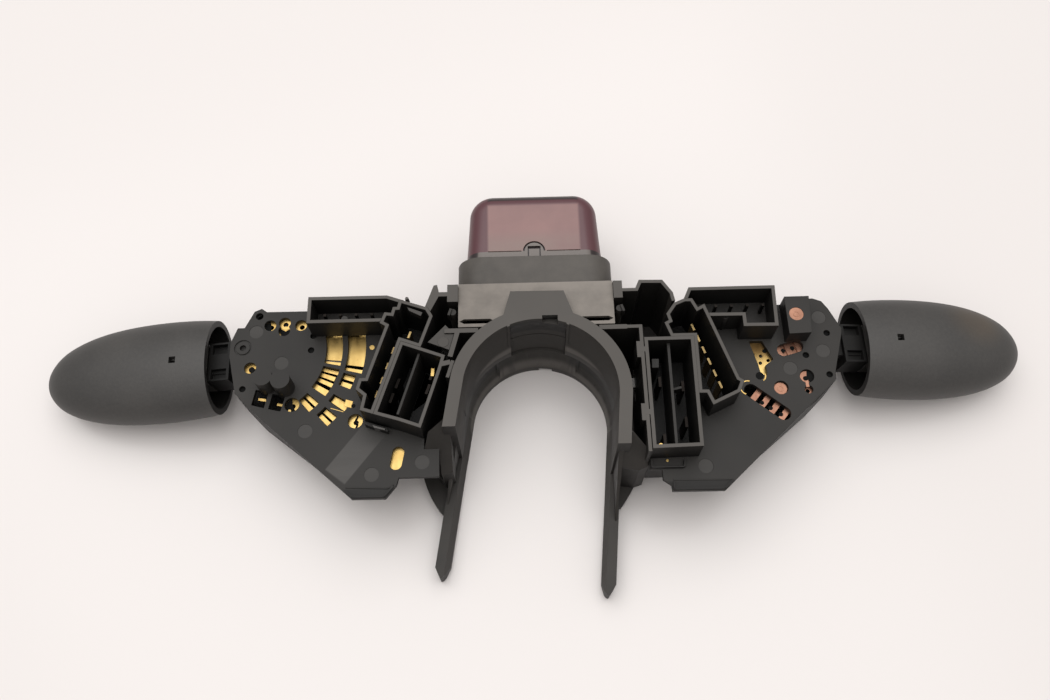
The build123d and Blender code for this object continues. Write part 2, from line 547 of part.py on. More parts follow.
def jambs(edges, z0, z1):
    """Upright ribs inside the wall, just outside the two edges."""
    ring = rod((0, 0), RING_IN_R + KEEP, z0, z1) - rod((0, 0), RING_IN_R - JAMB_H, z0, z1)
    left = slab((edges[0] - JAMB_W, 0), (edges[0], RING_OUT_R), z0, z1)
    right = slab((edges[1], 0), (edges[1] + JAMB_W, RING_OUT_R), z0, z1)
    return (ring & left) + (ring & right)


def ring_body():
    """The saddle's high wall with its seats, pads, pocket, key notches and rear tab."""
    body = saddle_block(RING_OUT_R, 0, RING_TOP) + prism(TAB, RING_TOP - TAB_T, RING_TOP)
    far = RING_OUT_R - min(LEG_END.values()) + RING_OUT_R
    body = body - slab((-far, WALL_END["left"]), (0, -far - 1), 0, RING_TOP)
    body = body - slab((0, WALL_END["right"]), (far, -far - 1), 0, RING_TOP)
    body = body - column_space() + rear_seat() + front_pad()
    body = body + jambs(POCKET_X, SEAT_REAR_Z, RING_TOP) + jambs(PAD_X, SEAT_FRONT_H, SEAT_REAR_Z)
    pocket = slab((POCKET_X[0], 0), (POCKET_X[1], RING_OUT_R), PAD_TOP, POCKET_TOP)
    body = body - (pocket & rod((0, 0), POCKET_R, PAD_TOP, POCKET_LEDGE_Z))
    body = body - (pocket & rod((0, 0), POCKET_R + POCKET_LEDGE, POCKET_LEDGE_Z, POCKET_TOP))
    body = body - slab(TAB_NOTCH[0], TAB_NOTCH[1], RING_TOP - TAB_T, RING_TOP)
    return body - slab(SEAT_NOTCH[0], SEAT_NOTCH[1], 0, SEAT_FRONT_H)


def leg(side):
    """Low pointed leg that carries on from the end of the wall."""
    outer, end = RING_IN_R + LEG_W, LEG_END[side]
    corners = [(outer, LEG_ROOT_Y), (outer, end + LEG_TIP_OUT)]
    corners += [(BORE_R + out, end + up) for out, up in LEG_TIP]
    corners += [(BORE_R, end + LEG_TIP_IN), (BORE_R - KEEP, LEG_ROOT_Y)]
    return prism([along_leg(side, radius, y) for radius, y in corners], LEG_BOTTOM, LEG_TOP)


def leg_rib(side):
    """Rib on a leg with a sloping top, thinning away from the wall."""
    y0, y1 = WALL_END[side] + RIB_ROOT, RIB_END[side]
    near, far = RIB_OFFSETS[side]
    corners = [(near[0], y0), (near[1], y0), (far[1], y1), (far[0], y1)]
    body = prism([along_leg(side, RING_IN_R + off, y) for off, y in corners], LEG_TOP - 1, RIB_TOP[side])
    slope = [(y0, LEG_TOP - 1), (y0, RIB_TOP[side]), (y1, LEG_TOP), (y1, LEG_TOP - 1)]
    reach = 2 * RING_OUT_R
    return body & side_prism(slope, -reach, reach)


def gusset(outline, slope):
    """Web between the wall and the flange with a sloping top."""
    y0, z0, y1, z1 = slope
    back = RING_OUT_R
    reach = 2 * RING_OUT_R
    edge = [(back, FLANGE_REAR), (back, z0), (y0, z0), (y1, z1), (-back, FLANGE_REAR)]
    return prism(outline, FLANGE_REAR, z0) & side_prism(edge, -reach, reach)


def flange_face():
    left, right = FLANGE_LEFT_ARC, FLANGE_RIGHT_ARC
    edges = [ThreePointArc(*left), Polyline(left[2], *FLANGE_REST, right[0]), ThreePointArc(*right),
             Line(right[2], left[0])]
    return make_face(edges)


def base_side(sign):
    """X of the hazard base's left (-1) or right (1) side."""
    return HAZ_X + sign * HAZ_BASE_W / 2


def column_carrier():
    """One moulding: saddle, legs, flange, upright walls, gussets and posts."""
    flange = Pos(0, 0, CARRIER_FRONT) * extrude(flange_face(), FLANGE_T, dir=(0, 0, 1))
    left, right = base_side(-1) - RAIL_W[0], base_side(1) + RAIL_W[1]
    body = flange + leg("left") + leg("right")
    for line in [LEFT_FRAME, [(LEFT_BRIDGE_X, BRIDGE_Y), (left + LAP, BRIDGE_Y)]] + CENTRE_FRAMES:
        body = body + wall(line, FRAME_T, FLANGE_REAR, FRAME_TOP)
    for line in [RIGHT_FRAME, [(right - LAP, BRIDGE_Y)] + RIGHT_POCKET]:
        body = body + wall(line, WALL_T, FLANGE_REAR, FRAME_TOP)
    body = body + prism(LEFT_FIN, FLANGE_REAR, FRAME_TOP) + prism(LEFT_WEB, WEB_TOP - WEB_T, WEB_TOP)
    body = body + slab((left, RAIL_Y[0]), (base_side(-1), RAIL_Y[1]), FLANGE_REAR, FRAME_TOP)
    body = body + slab((base_side(1), RAIL_Y[0]), (right, RAIL_Y[1]), FLANGE_REAR, FRAME_TOP)
    for sign in (-1, 1):
        at = (base_side(sign) + sign * HOOK_AT[0], HOOK_AT[1])
        body = body + rod(at, HOOK_R, FLANGE_REAR, FRAME_TOP - 2 * HOOK_R)
        for y in HAZARD_POST_Y:
            body = body + rod((base_side(sign) - sign * HAZARD_POST_IN, y), POST_R, FLANGE_REAR, HAZ_Z[0])
    for outline, slope in zip(GUSSETS, GUSSET_SLOPES):
        body = body + gusset(outline, slope)
    for at in POSTS:
        body = body + rod(at, POST_R, FLANGE_REAR, COVER_FRONT)
    body = body - column_space() + ring_body() + leg_rib("left") + leg_rib("right")
    for side in ("wiper", "indicator"):
        body = body - prism(switch_outline(side), COVER_FRONT, FRAME_TOP)
    for y in INDICATOR_CLIPS:
        body = body - slab((RIGHT_WALL_X - 1, y - CLIP_STEM / 2), (RIGHT_WALL_X + 1, y + CLIP_STEM / 2),
                           CLIP_BOTTOM, FRAME_TOP)
    body = body - wall(WIPER_CLIP_STEM, CLIP_STEM + 2 * SIDE_GAP, CLIP_BOTTOM - SIDE_GAP, RING_TOP)
    body = body - wall(WIPER_CLIP_HEAD, CLIP_HEAD[0] + 2 * SIDE_GAP, CLIP_BOTTOM - SIDE_GAP, RING_TOP)
    return body - pawl_window()


# ------------------------------------------------------------------ hazard switch
def scoop_r():
    """Radius of the hazard base's curved wall, on its inner side."""
    return RING_OUT_R + HAZ_RING_GAP + HAZ_WALL


def groove(x0, x1):
    """A long groove with pointed ends in the base's rear face."""
    side = []
    for sign in (1, -1):
        ends = [(x0, GROOVE_Y), (x0 + GROOVE_POINT, GROOVE_Y + sign * GROOVE_HALF_W),
                (x1 - GROOVE_POINT, GROOVE_Y + sign * GROOVE_HALF_W)]
        side.append(ends)
    line = side[0] + [(x1, GROOVE_Y)] + side[1][:0:-1]
    return prism(line, HAZ_Z[1] - GROOVE_DEPTH, HAZ_Z[1])


def hazard_base():
    """Contact housing behind the ring, open towards the button."""
    low, high = HAZ_BASE_Y
    left, right = base_side(-1), base_side(1)
    box = slab((left, low), (right, high), *HAZ_Z) - rod((0, 0), RING_OUT_R + HAZ_RING_GAP, *HAZ_Z)
    cavity = slab((left + HAZ_WALL, low + HAZ_WALL), (right - HAZ_WALL, high - HAZ_END_T),
                  HAZ_Z[0] + HAZ_WALL, HAZ_Z[1] - HAZ_WALL)
    box = box - (cavity - rod((0, 0), scoop_r(), *HAZ_Z))
    mouth = extrude(rounded_block(*collar_inside()), 2 * HAZ_END_T, dir=(0, 1, 0))
    box = box - Pos(HAZ_X, high - 1.5 * HAZ_END_T, collar_centre_z()) * mouth
    start, end = left + GROOVE_MARGIN, right - GROOVE_MARGIN
    return box - groove(start, start + GROOVE_LENGTH) - groove(end - GROOVE_LENGTH, end)


def rounded_block(width, height, radius):
    """A rounded rectangle in X and Z."""
    return Plane.XZ * RectangleRounded(width, height, radius)


def collar_centre_z():
    return (COLLAR_Z[0] + COLLAR_Z[1]) / 2


def bar_y(at_x, radius, y0, y1):
    """A round bar along Y at the height of the collar's centre."""
    return Pos(at_x, (y0 + y1) / 2, collar_centre_z()) * Rot(90, 0, 0) * Cylinder(radius, y1 - y0)


def collar_width():
    return HAZ_BASE_W + 2 * COLLAR_PROUD


def collar_inside():
    """Width, height and corner radius of the collar's opening."""
    depth = COLLAR_Z[1] - COLLAR_Z[0]
    return collar_width() - 2 * COLLAR_WALL, depth - 2 * COLLAR_WALL, COLLAR_R - COLLAR_WALL


def hazard_collar():
    """Guide frame that the button slides in."""
    length = COLLAR_Y - HAZ_BASE_Y[1]
    outer = extrude(rounded_block(collar_width(), COLLAR_Z[1] - COLLAR_Z[0], COLLAR_R), length, dir=(0, 1, 0))
    inner = extrude(rounded_block(*collar_inside()), length, dir=(0, 1, 0))
    return Pos(HAZ_X, HAZ_BASE_Y[1], collar_centre_z()) * (outer - inner)


def button_size():
    width, depth, _ = collar_inside()
    return width - 2 * BUTTON_GAP, depth - 2 * BUTTON_GAP


def cap_block(shrink):
    """The button's solid form, made smaller by shrink on every side but its open end."""
    width, depth = button_size()
    half, depth = width / 2 - shrink, depth - 2 * shrink
    length = BUTTON_TOP_Y - BUTTON_SKIRT_Y - shrink
    side = [(-half, 0), (half, 0), (half - BUTTON_TAPER, length), (BUTTON_TAPER - half, length)]
    block = Pos(0, 0, -depth / 2) * extrude(face(side), depth, dir=(0, 0, 1))
    block = fillet(block.edges().filter_by(Axis.Z).group_by(Axis.Y)[-1], BUTTON_CORNER - shrink)
    return fillet([e for e in block.edges() if e.center().Y > BUTTON_GAP], BUTTON_EDGE - shrink)


def button_lines():
    """Latch slots, arched line and seam, cut into the face at Z = 0; Y is measured as on the part."""
    high = LATCH_Y[1] - LATCH_SLOT[1]
    tall = (LATCH_Y[0] + LATCH_Y[1]) / 2
    latch = Pos(0, tall, 0) * Box(LATCH_W, LATCH_Y[1] - LATCH_Y[0], 2 * LINE_DEPTH)
    width = LATCH_W - 2 * LATCH_SLOT[0]
    tongue = Pos(0, (LATCH_Y[0] + high) / 2, 0) * Box(width, high - LATCH_Y[0], 2 * LINE_DEPTH)
    seam_y = COLLAR_Y + SEAM_GAP
    arch = Cylinder(ARCH_R, 2 * LINE_DEPTH) - Cylinder(ARCH_R - ARCH_W, 2 * LINE_DEPTH)
    arch = Pos(0, seam_y, 0) * (arch & (Pos(0, ARCH_R, 0) * Box(2 * ARCH_R + 1, 2 * ARCH_R, 2 * LINE_DEPTH)))
    seams = []
    for sign in (-1, 1):
        middle = sign * (SEAM_X[0] + SEAM_X[1]) / 2
        seams.append(Pos(middle, seam_y, 0) * Box(SEAM_X[1] - SEAM_X[0], LINE_W, LINE_DEPTH))
    return [latch - tongue, arch] + seams


def hazard_button():
    """Hollow translucent cap with a slotted latch, an arched line and a seam in its rear face."""
    body = Pos(HAZ_X, BUTTON_SKIRT_Y, collar_centre_z()) * (cap_block(0) - cap_block(BUTTON_WALL))
    for line in button_lines():
        body = body - Pos(HAZ_X, 0, collar_centre_z() + button_size()[1] / 2) * line
    return body


def hazard_plunger():
    """Contact carrier, clipped inside the button's skirt."""
    z = collar_centre_z()
    width, depth = button_size()
    low, high = HAZ_PLUNGER_Y
    width, depth = width - 2 * BUTTON_WALL, depth - 2 * BUTTON_WALL
    foot = rounded_block(width - 2 * SIDE_GAP, depth, BUTTON_EDGE - BUTTON_WALL)
    body = Pos(HAZ_X, BUTTON_SKIRT_Y, z) * extrude(foot, high - BUTTON_SKIRT_Y, dir=(0, 1, 0))
    body = body + slab((HAZ_X - HAZ_PLUNGER_W / 2, low), (HAZ_X + HAZ_PLUNGER_W / 2, BUTTON_SKIRT_Y),
                       z - HAZ_PLUNGER_D / 2, z + HAZ_PLUNGER_D / 2)
    bore = HAZ_SPRING_R + HAZ_WIRE_R + SIDE_GAP
    for side in (-1, 1):
        body = body - bar_y(HAZ_X + side * HAZ_SPRING_X, bore, low, low + HAZ_SPRING_BORE)
    return body - bar_y(HAZ_X, LAMP_R + LAMP_HOLDER_WALL + LAMP_GAP, low, high)


def hazard_contact_bridge():
    """Sprung brass bridge on the plunger's front."""
    length, width, thickness = HAZ_BRIDGE
    z = collar_centre_z() - HAZ_PLUNGER_D / 2 - thickness
    y = HAZ_PLUNGER_Y[0] + 1
    return slab((HAZ_X - length / 2, y), (HAZ_X + length / 2, y + width), z, z + thickness)


def hazard_fixed_contacts():
    """Brass strips on the base's front wall, each with an upright contact."""
    z0 = HAZ_Z[0] + HAZ_WALL
    reach = collar_centre_z() - HAZ_PLUNGER_D / 2 - HAZ_BRIDGE[2] - SIDE_GAP
    strips = []
    for x in HAZ_STRIP_X:
        low, high = HAZ_X + x - HAZ_STRIP_W / 2, HAZ_X + x + HAZ_STRIP_W / 2
        strips.append(slab((low, scoop_r() + HAZ_STRIP_START), (high, HAZ_STRIP_END), z0, z0 + TRACK_T)
                      + slab((low, HAZ_RISE[0]), (high, HAZ_RISE[1]), z0, reach))
    return Compound(strips)


def hazard_springs():
    """Two return springs between the base's curved wall and the plunger."""
    near_x = HAZ_SPRING_X - HAZ_SPRING_R - HAZ_WIRE_R - abs(HAZ_X)
    start = (scoop_r() ** 2 - near_x ** 2) ** 0.5
    length = HAZ_PLUNGER_Y[0] + HAZ_SPRING_BORE - start
    springs = []
    for side in (-1, 1):
        at = (HAZ_X + side * HAZ_SPRING_X, start, collar_centre_z())
        springs.append(coil(at, (0, 1, 0), HAZ_SPRING_R, HAZ_WIRE_R, length, HAZ_SPRING_TURNS))
    return Compound(springs)


def hazard_lamp():
    """Wedge lamp on the button's centre line."""
    return bar_y(HAZ_X, LAMP_R, *LAMP_Y) + Pos(HAZ_X, LAMP_Y[1], collar_centre_z()) * Sphere(LAMP_R)


def hazard_lamp_holder():
    """Stem from the base's curved wall to the lamp."""
    stem = bar_y(HAZ_X, LAMP_R + LAMP_HOLDER_WALL, RING_OUT_R, LAMP_Y[0])
    return stem - rod((0, 0), scoop_r(), *HAZ_Z)


# ------------------------------------------------------------------ sockets
def socket(outline, floor):
    """Open box with a floor, following an outline."""
    outer = prism(outline, floor, SOCKET_RIM)
    inner = extrude(shrunk(outline, SOCKET_WALL), SOCKET_RIM, dir=(0, 0, 1))
    return outer - Pos(0, 0, floor + SOCKET_FLOOR_T) * inner


def top_box(outline, neighbour, post):
    """Shallow connector shroud on the contact plate, closed at one end by its neighbour's wall."""
    outer = prism(outline, PLATE_REAR, SOCKET_RIM)
    inner = Pos(0, 0, PLATE_REAR) * extrude(shrunk(outline, SOCKET_WALL), SOCKET_RIM, dir=(0, 0, 1))
    rib = rod(post, TOP_RIB_R, PLATE_REAR, SOCKET_RIM - TOP_RIB_DROP)
    return outer - inner + rib - prism(neighbour, PLATE_REAR, SOCKET_RIM)


def slanted_terminals(places, lean):
    foot = SOCKET_FLOOR + SOCKET_FLOOR_T
    return Compound([blade(at, TERMINAL_SIZE, lean, foot, TERMINAL_TOP) for at in places])


def top_pins(ends):
    return Compound([blade(at, (TOP_PIN_SIZE, TOP_PIN_SIZE), 0, PLATE_REAR, TOP_PIN_TOP)
                     for at in between(ends[0], ends[1], TOP_PIN_COUNT)])


def relay_blades(places):
    foot = SOCKET_FLOOR + SOCKET_FLOOR_T
    return Compound([blade(at, BLADE_SIZE, turn, foot, BLADE_TOP) for at, turn in places])


def wiper_relay_socket():
    body = socket(WIPER_RELAY, SOCKET_FLOOR)
    body = body + wall(WIPER_PARTITION, PARTITION_T, PARTITION_FOOT, PARTITION_TOP)
    stem = wall(WIPER_CLIP_STEM, CLIP_STEM, CLIP_BOTTOM, CLIP_TOP)
    return body + stem + wall(WIPER_CLIP_HEAD, CLIP_HEAD[0], CLIP_BOTTOM, CLIP_TOP)


def indicator_relay_socket():
    body = socket(INDICATOR_RELAY, SOCKET_FLOOR)
    body = body + wall(INDICATOR_PARTITION, PARTITION_T, PARTITION_FOOT, PARTITION_TOP)
    for y in INDICATOR_CLIPS:
        wall_in = RIGHT_WALL_X + WALL_T / 2
        far = RIGHT_WALL_X - WALL_T / 2
        stem = slab((far - CLIP_HEAD[0], y - CLIP_STEM / 2), (wall_in + WALL_T, y + CLIP_STEM / 2),
                    CLIP_BOTTOM, CLIP_TOP)
        half = CLIP_HEAD[1] / 2
        head = slab((far - CLIP_HEAD[0], y - half), (far, y + half), CLIP_BOTTOM, CLIP_TOP)
        body = body + stem + head
    return body


# ------------------------------------------------------------------ switch casings
def deep_sockets(side):
    if side == "wiper":
        return [WIPER_CONNECTOR, WIPER_RELAY]
    return [INDICATOR_CONNECTOR, INDICATOR_RELAY]


def switch_outline(side):
    return {"wiper": WIPER_OUTLINE, "indicator": INDICATOR_OUTLINE}[side]


def pivot(side):
    return {"wiper": WIPER_PIVOT, "indicator": INDICATOR_PIVOT}[side]


def cut_sockets(body, side):
    for outline in deep_sockets(side):
        body = body - prism(outline, SOCKET_FLOOR, SOCKET_RIM)
    return body


def ring_windows():
    """Centre and radius of each round window over a brass ring."""
    return [(at, RING_WINDOW_R) for at in WIPER_RINGS] + [(at, WIDE_WINDOW_R) for at in WIPER_WIDE_RINGS]


def wiper_contact_plate():
    """Rear plate of the wiper switch, with windows over its brass tracks."""
    body = cut_sockets(prism(WIPER_OUTLINE, PLATE_FRONT, PLATE_REAR), "wiper")
    top = PLATE_REAR + LAP
    for r0, r1, a0, a1 in WIPER_WINDOWS:
        body = body - sector(WIPER_PIVOT, r0, r1, a0, a1, PLATE_FRONT, top)
    for at, window in ring_windows():
        body = body - rod(at, window, PLATE_FRONT, top)
    body = body - capsule(WIPER_OVAL[0], WIPER_OVAL[1], OVAL_R, PLATE_FRONT, top)
    for outline in WIPER_SQUARES:
        body = body - prism(outline, PLATE_FRONT, top)
    for at in WIPER_POSTS:
        body = body + rod(at, WIPER_POST_R, PLATE_FRONT, WIPER_POST_TOP)
    for at in WIPER_HOLES:
        body = body - rod(at, PLATE_HOLE_R, PLATE_FRONT, top)
    body = body - rod(WIPER_EAR, EAR_HOLE_R, PLATE_FRONT, top)
    inside, outside, depth = BOSS_GROOVE
    floor = PLATE_REAR - depth
    body = body - (rod(WIPER_BOSS, outside, floor, top) - rod(WIPER_BOSS, inside, floor, top))
    body = body - rod(WIPER_BOSS, PLATE_HOLE_R, PLATE_REAR - BOSS_HOLE_DEPTH, top)
    for at in WIPER_MARKS:
        body = body - rod(at, MARK_R, PLATE_REAR - MARK_DEPTH, top)
    return body - rod(WIPER_PIVOT, TRUNNION_R + RUN_FIT, PLATE_FRONT, PLATE_FRONT + TRUNNION_DEPTH)


def indicator_contact_plate():
    """Rear plate of the indicator switch, with slots over its copper pads."""
    body = cut_sockets(prism(INDICATOR_OUTLINE, PLATE_FRONT, PLATE_REAR), "indicator")
    top = PLATE_REAR + LAP
    opening = shrunk(INDICATOR_BLADE, CONTACT_LAP)
    body = body - Pos(0, 0, PLATE_FRONT) * extrude(opening, top - PLATE_FRONT, dir=(0, 0, 1))
    body = body + prism(INDICATOR_BLOCK, PLATE_FRONT, BLOCK_TOP)
    body = body - rod(BLOCK_RIVET, RIVET_R, BLOCK_TOP - RIVET_SINK[0], BLOCK_TOP)
    for a, b, radius in INDICATOR_SLOTS:
        body = body - capsule(a, b, radius, PLATE_FRONT, top)
    for at in INDICATOR_RIVETS:
        body = body - rod(at, RIVET_R, PLATE_FRONT, top)
    body = body - rod(INDICATOR_SMALL, SMALL_R, PLATE_FRONT, top)
    for at in INDICATOR_HOLES:
        body = body - rod(at, PLATE_HOLE_R, PLATE_FRONT, top)
    for at in INDICATOR_MARKS:
        body = body - rod(at, MARK_R, PLATE_REAR - MARK_DEPTH, top)
    return body - rod(INDICATOR_PIVOT, TRUNNION_R + RUN_FIT, PLATE_FRONT, PLATE_FRONT + TRUNNION_DEPTH)


def body_outline(side):
    return {"wiper": WIPER_BODY, "indicator": INDICATOR_BODY}[side]


def housing(side):
    """Side walls of a lever switch, with screw bosses and the stalk's window."""
    outline = body_outline(side)
    shell = prism(outline, COVER_REAR, PLATE_FRONT)
    hollow = extrude(shrunk(outline, SWITCH_WALL), PLATE_FRONT - COVER_REAR, dir=(0, 0, 1))
    body = cut_sockets(shell - Pos(0, 0, COVER_REAR) * hollow, side)
    for at in SCREWS[side]:
        boss = rod(at, SCREW_BOSS_R, COVER_REAR, PLATE_FRONT - TRACK_T - BOSS_GAP)
        body = body + boss - rod(at, SCREW_HOLE_R, COVER_REAR, COVER_REAR + SCREW_DEPTH)
    sign = {"wiper": -1, "indicator": 1}[side]
    px, py = pivot(side)
    near, far, half = STALK_WINDOW
    body = body - slab((px + sign * near, py - half), (px + sign * far, py + half), COVER_REAR, PLATE_FRONT)
    return body - pawl_window() if side == "indicator" else body


def front_cover(side):
    """Front cover with stiffening ribs, trunnion bearing, slider guide and screw holes."""
    body = prism(body_outline(side), COVER_FRONT, COVER_REAR)
    for line in COVER_RIBS[side]:
        body = body + wall(line, COVER_RIB_T, COVER_FRONT - COVER_RIB_H, COVER_FRONT)
    px, py = pivot(side)
    sign = {"wiper": -1, "indicator": 1}[side]
    low = COVER_FRONT - COVER_RIB_H
    body = body - rod((px, py), TRUNNION_R + RUN_FIT, low, COVER_REAR)
    body = body - rod((px - sign * SLIDER_STEM_AT, py), SLIDER_STEM_R + RUN_FIT, low, COVER_REAR)
    for at in SCREWS[side]:
        body = body - rod(at, SCREW_HOLE_R + SCREW_PLAY, low, COVER_REAR)
        body = body - rod(at, SCREW_HEAD_R + SIDE_GAP, low, COVER_FRONT + SCREW_SINK)
    return body + pawl_boss() if side == "indicator" else body


def cover_screws(side):
    """Self-tapping screws, heads on the front cover."""
    screws = []
    length, width, depth = SCREW_CROSS
    head_z = COVER_FRONT + SCREW_SINK
    front = head_z - SCREW_HEAD_H
    end_z = COVER_REAR + SCREW_DEPTH - SCREW_END
    for at in SCREWS[side]:
        screw = rod(at, SCREW_HEAD_R, front, head_z) + rod(at, SCREW_HOLE_R, head_z, end_z)
        for dx, dy in ((length / 2, width / 2), (width / 2, length / 2)):
            screw = screw - slab((at[0] - dx, at[1] - dy), (at[0] + dx, at[1] + dy), front, front + depth)
        screws.append(screw)
    return Compound(screws)


def wiper_tracks():
    """Stamped brass tracks under the wiper plate."""
    z0 = PLATE_FRONT - TRACK_T
    pieces = [sector(WIPER_PIVOT, *track, z0, PLATE_FRONT) for track in WIPER_TRACKS]
    for at, window in ring_windows():
        disc = rod(at, window + RING_LAP, z0, PLATE_FRONT)
        pieces.append(disc - rod(at, RING_HOLE_R, z0, PLATE_FRONT))
    pieces.append(capsule(WIPER_OVAL[0], WIPER_OVAL[1], OVAL_R + CONTACT_LAP, z0, PLATE_FRONT))
    return Compound(solids_of(pieces))


def indicator_pads():
    """Copper contact pads, rivets and the perforated brass blade."""
    z0 = PLATE_FRONT - TRACK_T
    pieces = [blade(at, PAD_SIZE, turn, z0, PLATE_FRONT) for at, turn in INDICATOR_PADS]
    for at in INDICATOR_RIVETS:
        head = rod(at, RIVET_R - SIDE_GAP, z0, PLATE_FRONT + RIVET_H)
        pieces.append(rod(at, RIVET_R + SIDE_GAP, z0, PLATE_FRONT) + head)
    small = rod(INDICATOR_SMALL, SMALL_R + CONTACT_LAP, z0, PLATE_FRONT)
    pieces.append(small - rod(INDICATOR_SMALL, SMALL_R / 2, z0, PLATE_FRONT))
    sheet = prism(INDICATOR_BLADE, z0, PLATE_FRONT)
    for at in BLADE_HOLES:
        sheet = sheet - rod(at, BLADE_HOLE_R, z0, PLATE_FRONT)
    pieces.append(sheet)
    pieces.append(rod(BLOCK_RIVET, RIVET_R, BLOCK_TOP - RIVET_SINK[0], BLOCK_TOP - RIVET_SINK[1]))
    return Compound(solids_of(pieces))


def solids_of(pieces):
    """Fuse the pieces that touch, then list the separate solids."""
    whole = pieces[0]
    for piece in pieces[1:]:
        whole = whole + piece
    return list(whole.solids())


# ------------------------------------------------------------------ lever mechanism
# Built round a pivot at X = Y = 0 with the stalk along +X, then placed.
def cross_hole(radius):
    """A hole along Y at the pivot, right through the rotor."""
    return Pos(0, 0, PIVOT_Z) * Rot(90, 0, 0) * Cylinder(radius, 4 * ROTOR_R)


def rotor(arm_reach):
    """Swing carrier on two trunnions, with the contact arm at its rear."""
    low = COVER_REAR + SIDE_GAP
    high = PLATE_FRONT - TRACK_T - SIDE_GAP
    block = slab((-ROTOR_HALF_U, -ROTOR_CHEEK[1]), (ROTOR_HALF_U, ROTOR_CHEEK[1]), low, high)
    block = block & rod((0, 0), ROTOR_R, low, high)
    way = slab((-ROTOR_R, -ROTOR_CHEEK[0]), (ROTOR_R, ROTOR_CHEEK[0]),
               low + ROTOR_BRIDGE_T, high - ROTOR_BRIDGE_T)
    block = block - way + rod((0, 0), TRUNNION_R, COVER_FRONT + SIDE_GAP, low)
    block = block + rod((0, 0), TRUNNION_R, high, PLATE_FRONT + TRUNNION_DEPTH - TRUNNION_END)
    arm_z = PLATE_FRONT - TRACK_T - FINGER_T - ARM_T - FINGER_GAP
    root, end = ARM_HALF_W
    taper = [(-ARM_ROOT, -root), (-arm_reach, -end), (-arm_reach, end), (-ARM_ROOT, root)]
    block = block + prism(taper, arm_z, arm_z + ARM_T)
    return block - cross_hole(PIN_R)


def contact_bridge(arm_reach):
    """Brass fingers on the rotor's arm."""
    z0 = PLATE_FRONT - TRACK_T - FINGER_T - FINGER_GAP
    strip = slab((-arm_reach, -FINGER_HALF_W), (-FINGER_FROM, FINGER_HALF_W), z0, z0 + FINGER_T)
    for v in FINGER_SLOTS:
        strip = strip - slab((-arm_reach, v), (-FINGER_SLOT_FROM, v + FINGER_SLOT_W), z0, z0 + FINGER_T)
    return strip


def pivot_pin():
    return Pos(0, 0, PIVOT_Z) * Rot(90, 0, 0) * Cylinder(PIN_R, 2 * ROTOR_CHEEK[1] - 2 * PIN_END)


def tilted(shape):
    """Turn a shape from the stalk's own line to its droop at the pivot."""
    return Pos(0, 0, PIVOT_Z) * Rot(0, LEVER_DROOP, 0) * shape


def lever(yaw):
    """Stalk arm: inner lever, ribbed neck and the tongue that the grip fits on."""
    inner = Pos(0, 0, PIVOT_Z) * Box(2 * LEVER_INNER, 2 * LEVER_HALF_W, 2 * LEVER_HALF_H)
    inner = inner - Pos(LEVER_INNER, 0, PIVOT_Z) * Box(LEVER_INNER, 4 * LEVER_HALF_W, 4 * LEVER_HALF_H)
    width, height = 2 * (LEVER_HALF_W - STEM_SHRINK), 2 * (LEVER_HALF_H - STEM_SHRINK)
    outer = Pos((STEM_FROM + NECK[1]) / 2, 0, 0) * Box(NECK[1] - STEM_FROM, width, height)
    neck_l, neck_x = NECK[1] - NECK[0], (NECK[0] + NECK[1]) / 2
    neck = Pos(neck_x, 0, 0) * Box(neck_l, 2 * NECK_HALF[0], 2 * NECK_HALF[1])
    for v in (-1, 1):
        for w in (-1, 1):
            at = Pos(neck_x, v * NECK_POCKET_AT[0], w * NECK_POCKET_AT[1])
            neck = neck - at * Box(neck_l - 2 * NECK_RIM, *NECK_POCKET)
    tongue_l = TONGUE_END - NECK[1]
    middle = NECK[1] + tongue_l / 2
    tongue = Pos(middle, 0, 0) * Box(tongue_l, 2 * TONGUE_HALF_W, 2 * TONGUE_HALF_H)
    cut_h = 2 * (TONGUE_HALF_H - TONGUE_GROOVE)
    groove_cut = Pos(middle + TONGUE_LEAD, 0, TONGUE_HALF_H) * Box(tongue_l, TONGUE_HALF_W, cut_h)
    stalk = Rot(0, 0, yaw) * tilted(outer + neck + tongue - groove_cut)
    body = inner + stalk
    body = body - cross_hole(PIN_R + RUN_FIT)
    bore_l = LEVER_INNER - SPRING_BORE_END
    bore = Rot(0, 90, 0) * Cylinder(PLUNGER_R + RUN_FIT, bore_l)
    return body - Pos(-LEVER_INNER + bore_l / 2, 0, PIVOT_Z) * bore


def grip_radius(s, length):
    """Half width of the grip at a distance from its mouth."""
    if s <= GRIP_FULL:
        part = 1 - s / GRIP_FULL
        return GRIP_R - (GRIP_R - GRIP_MOUTH_R) * part ** 2
    u = (s - GRIP_FULL) / (length - GRIP_FULL)
    return GRIP_R * (1 - u ** NOSE_POWER[0]) ** (1 / NOSE_POWER[1])


def egg(length, wall_t):
    """Round solid of the grip's profile, moved inwards by wall_t."""
    tip = length - wall_t
    points = [(part * tip, grip_radius(part * length, length) - wall_t) for part in GRIP_STATIONS]
    points.append((tip, 0))
    curve = Spline(*points, tangents=[(1, MOUTH_FLARE), (0, -1)])
    return revolve(make_face([curve, Polyline((tip, 0), (0, 0), points[0])]), Axis.X)


def grip_block(x0, x1, half_w, half_h):
    """A block inside the round grip, tall enough to be right once the grip is flattened."""
    return Pos((x0 + x1) / 2, 0, 0) * Box(x1 - x0, 2 * half_w, 2 * half_h / GRIP_FLATNESS)


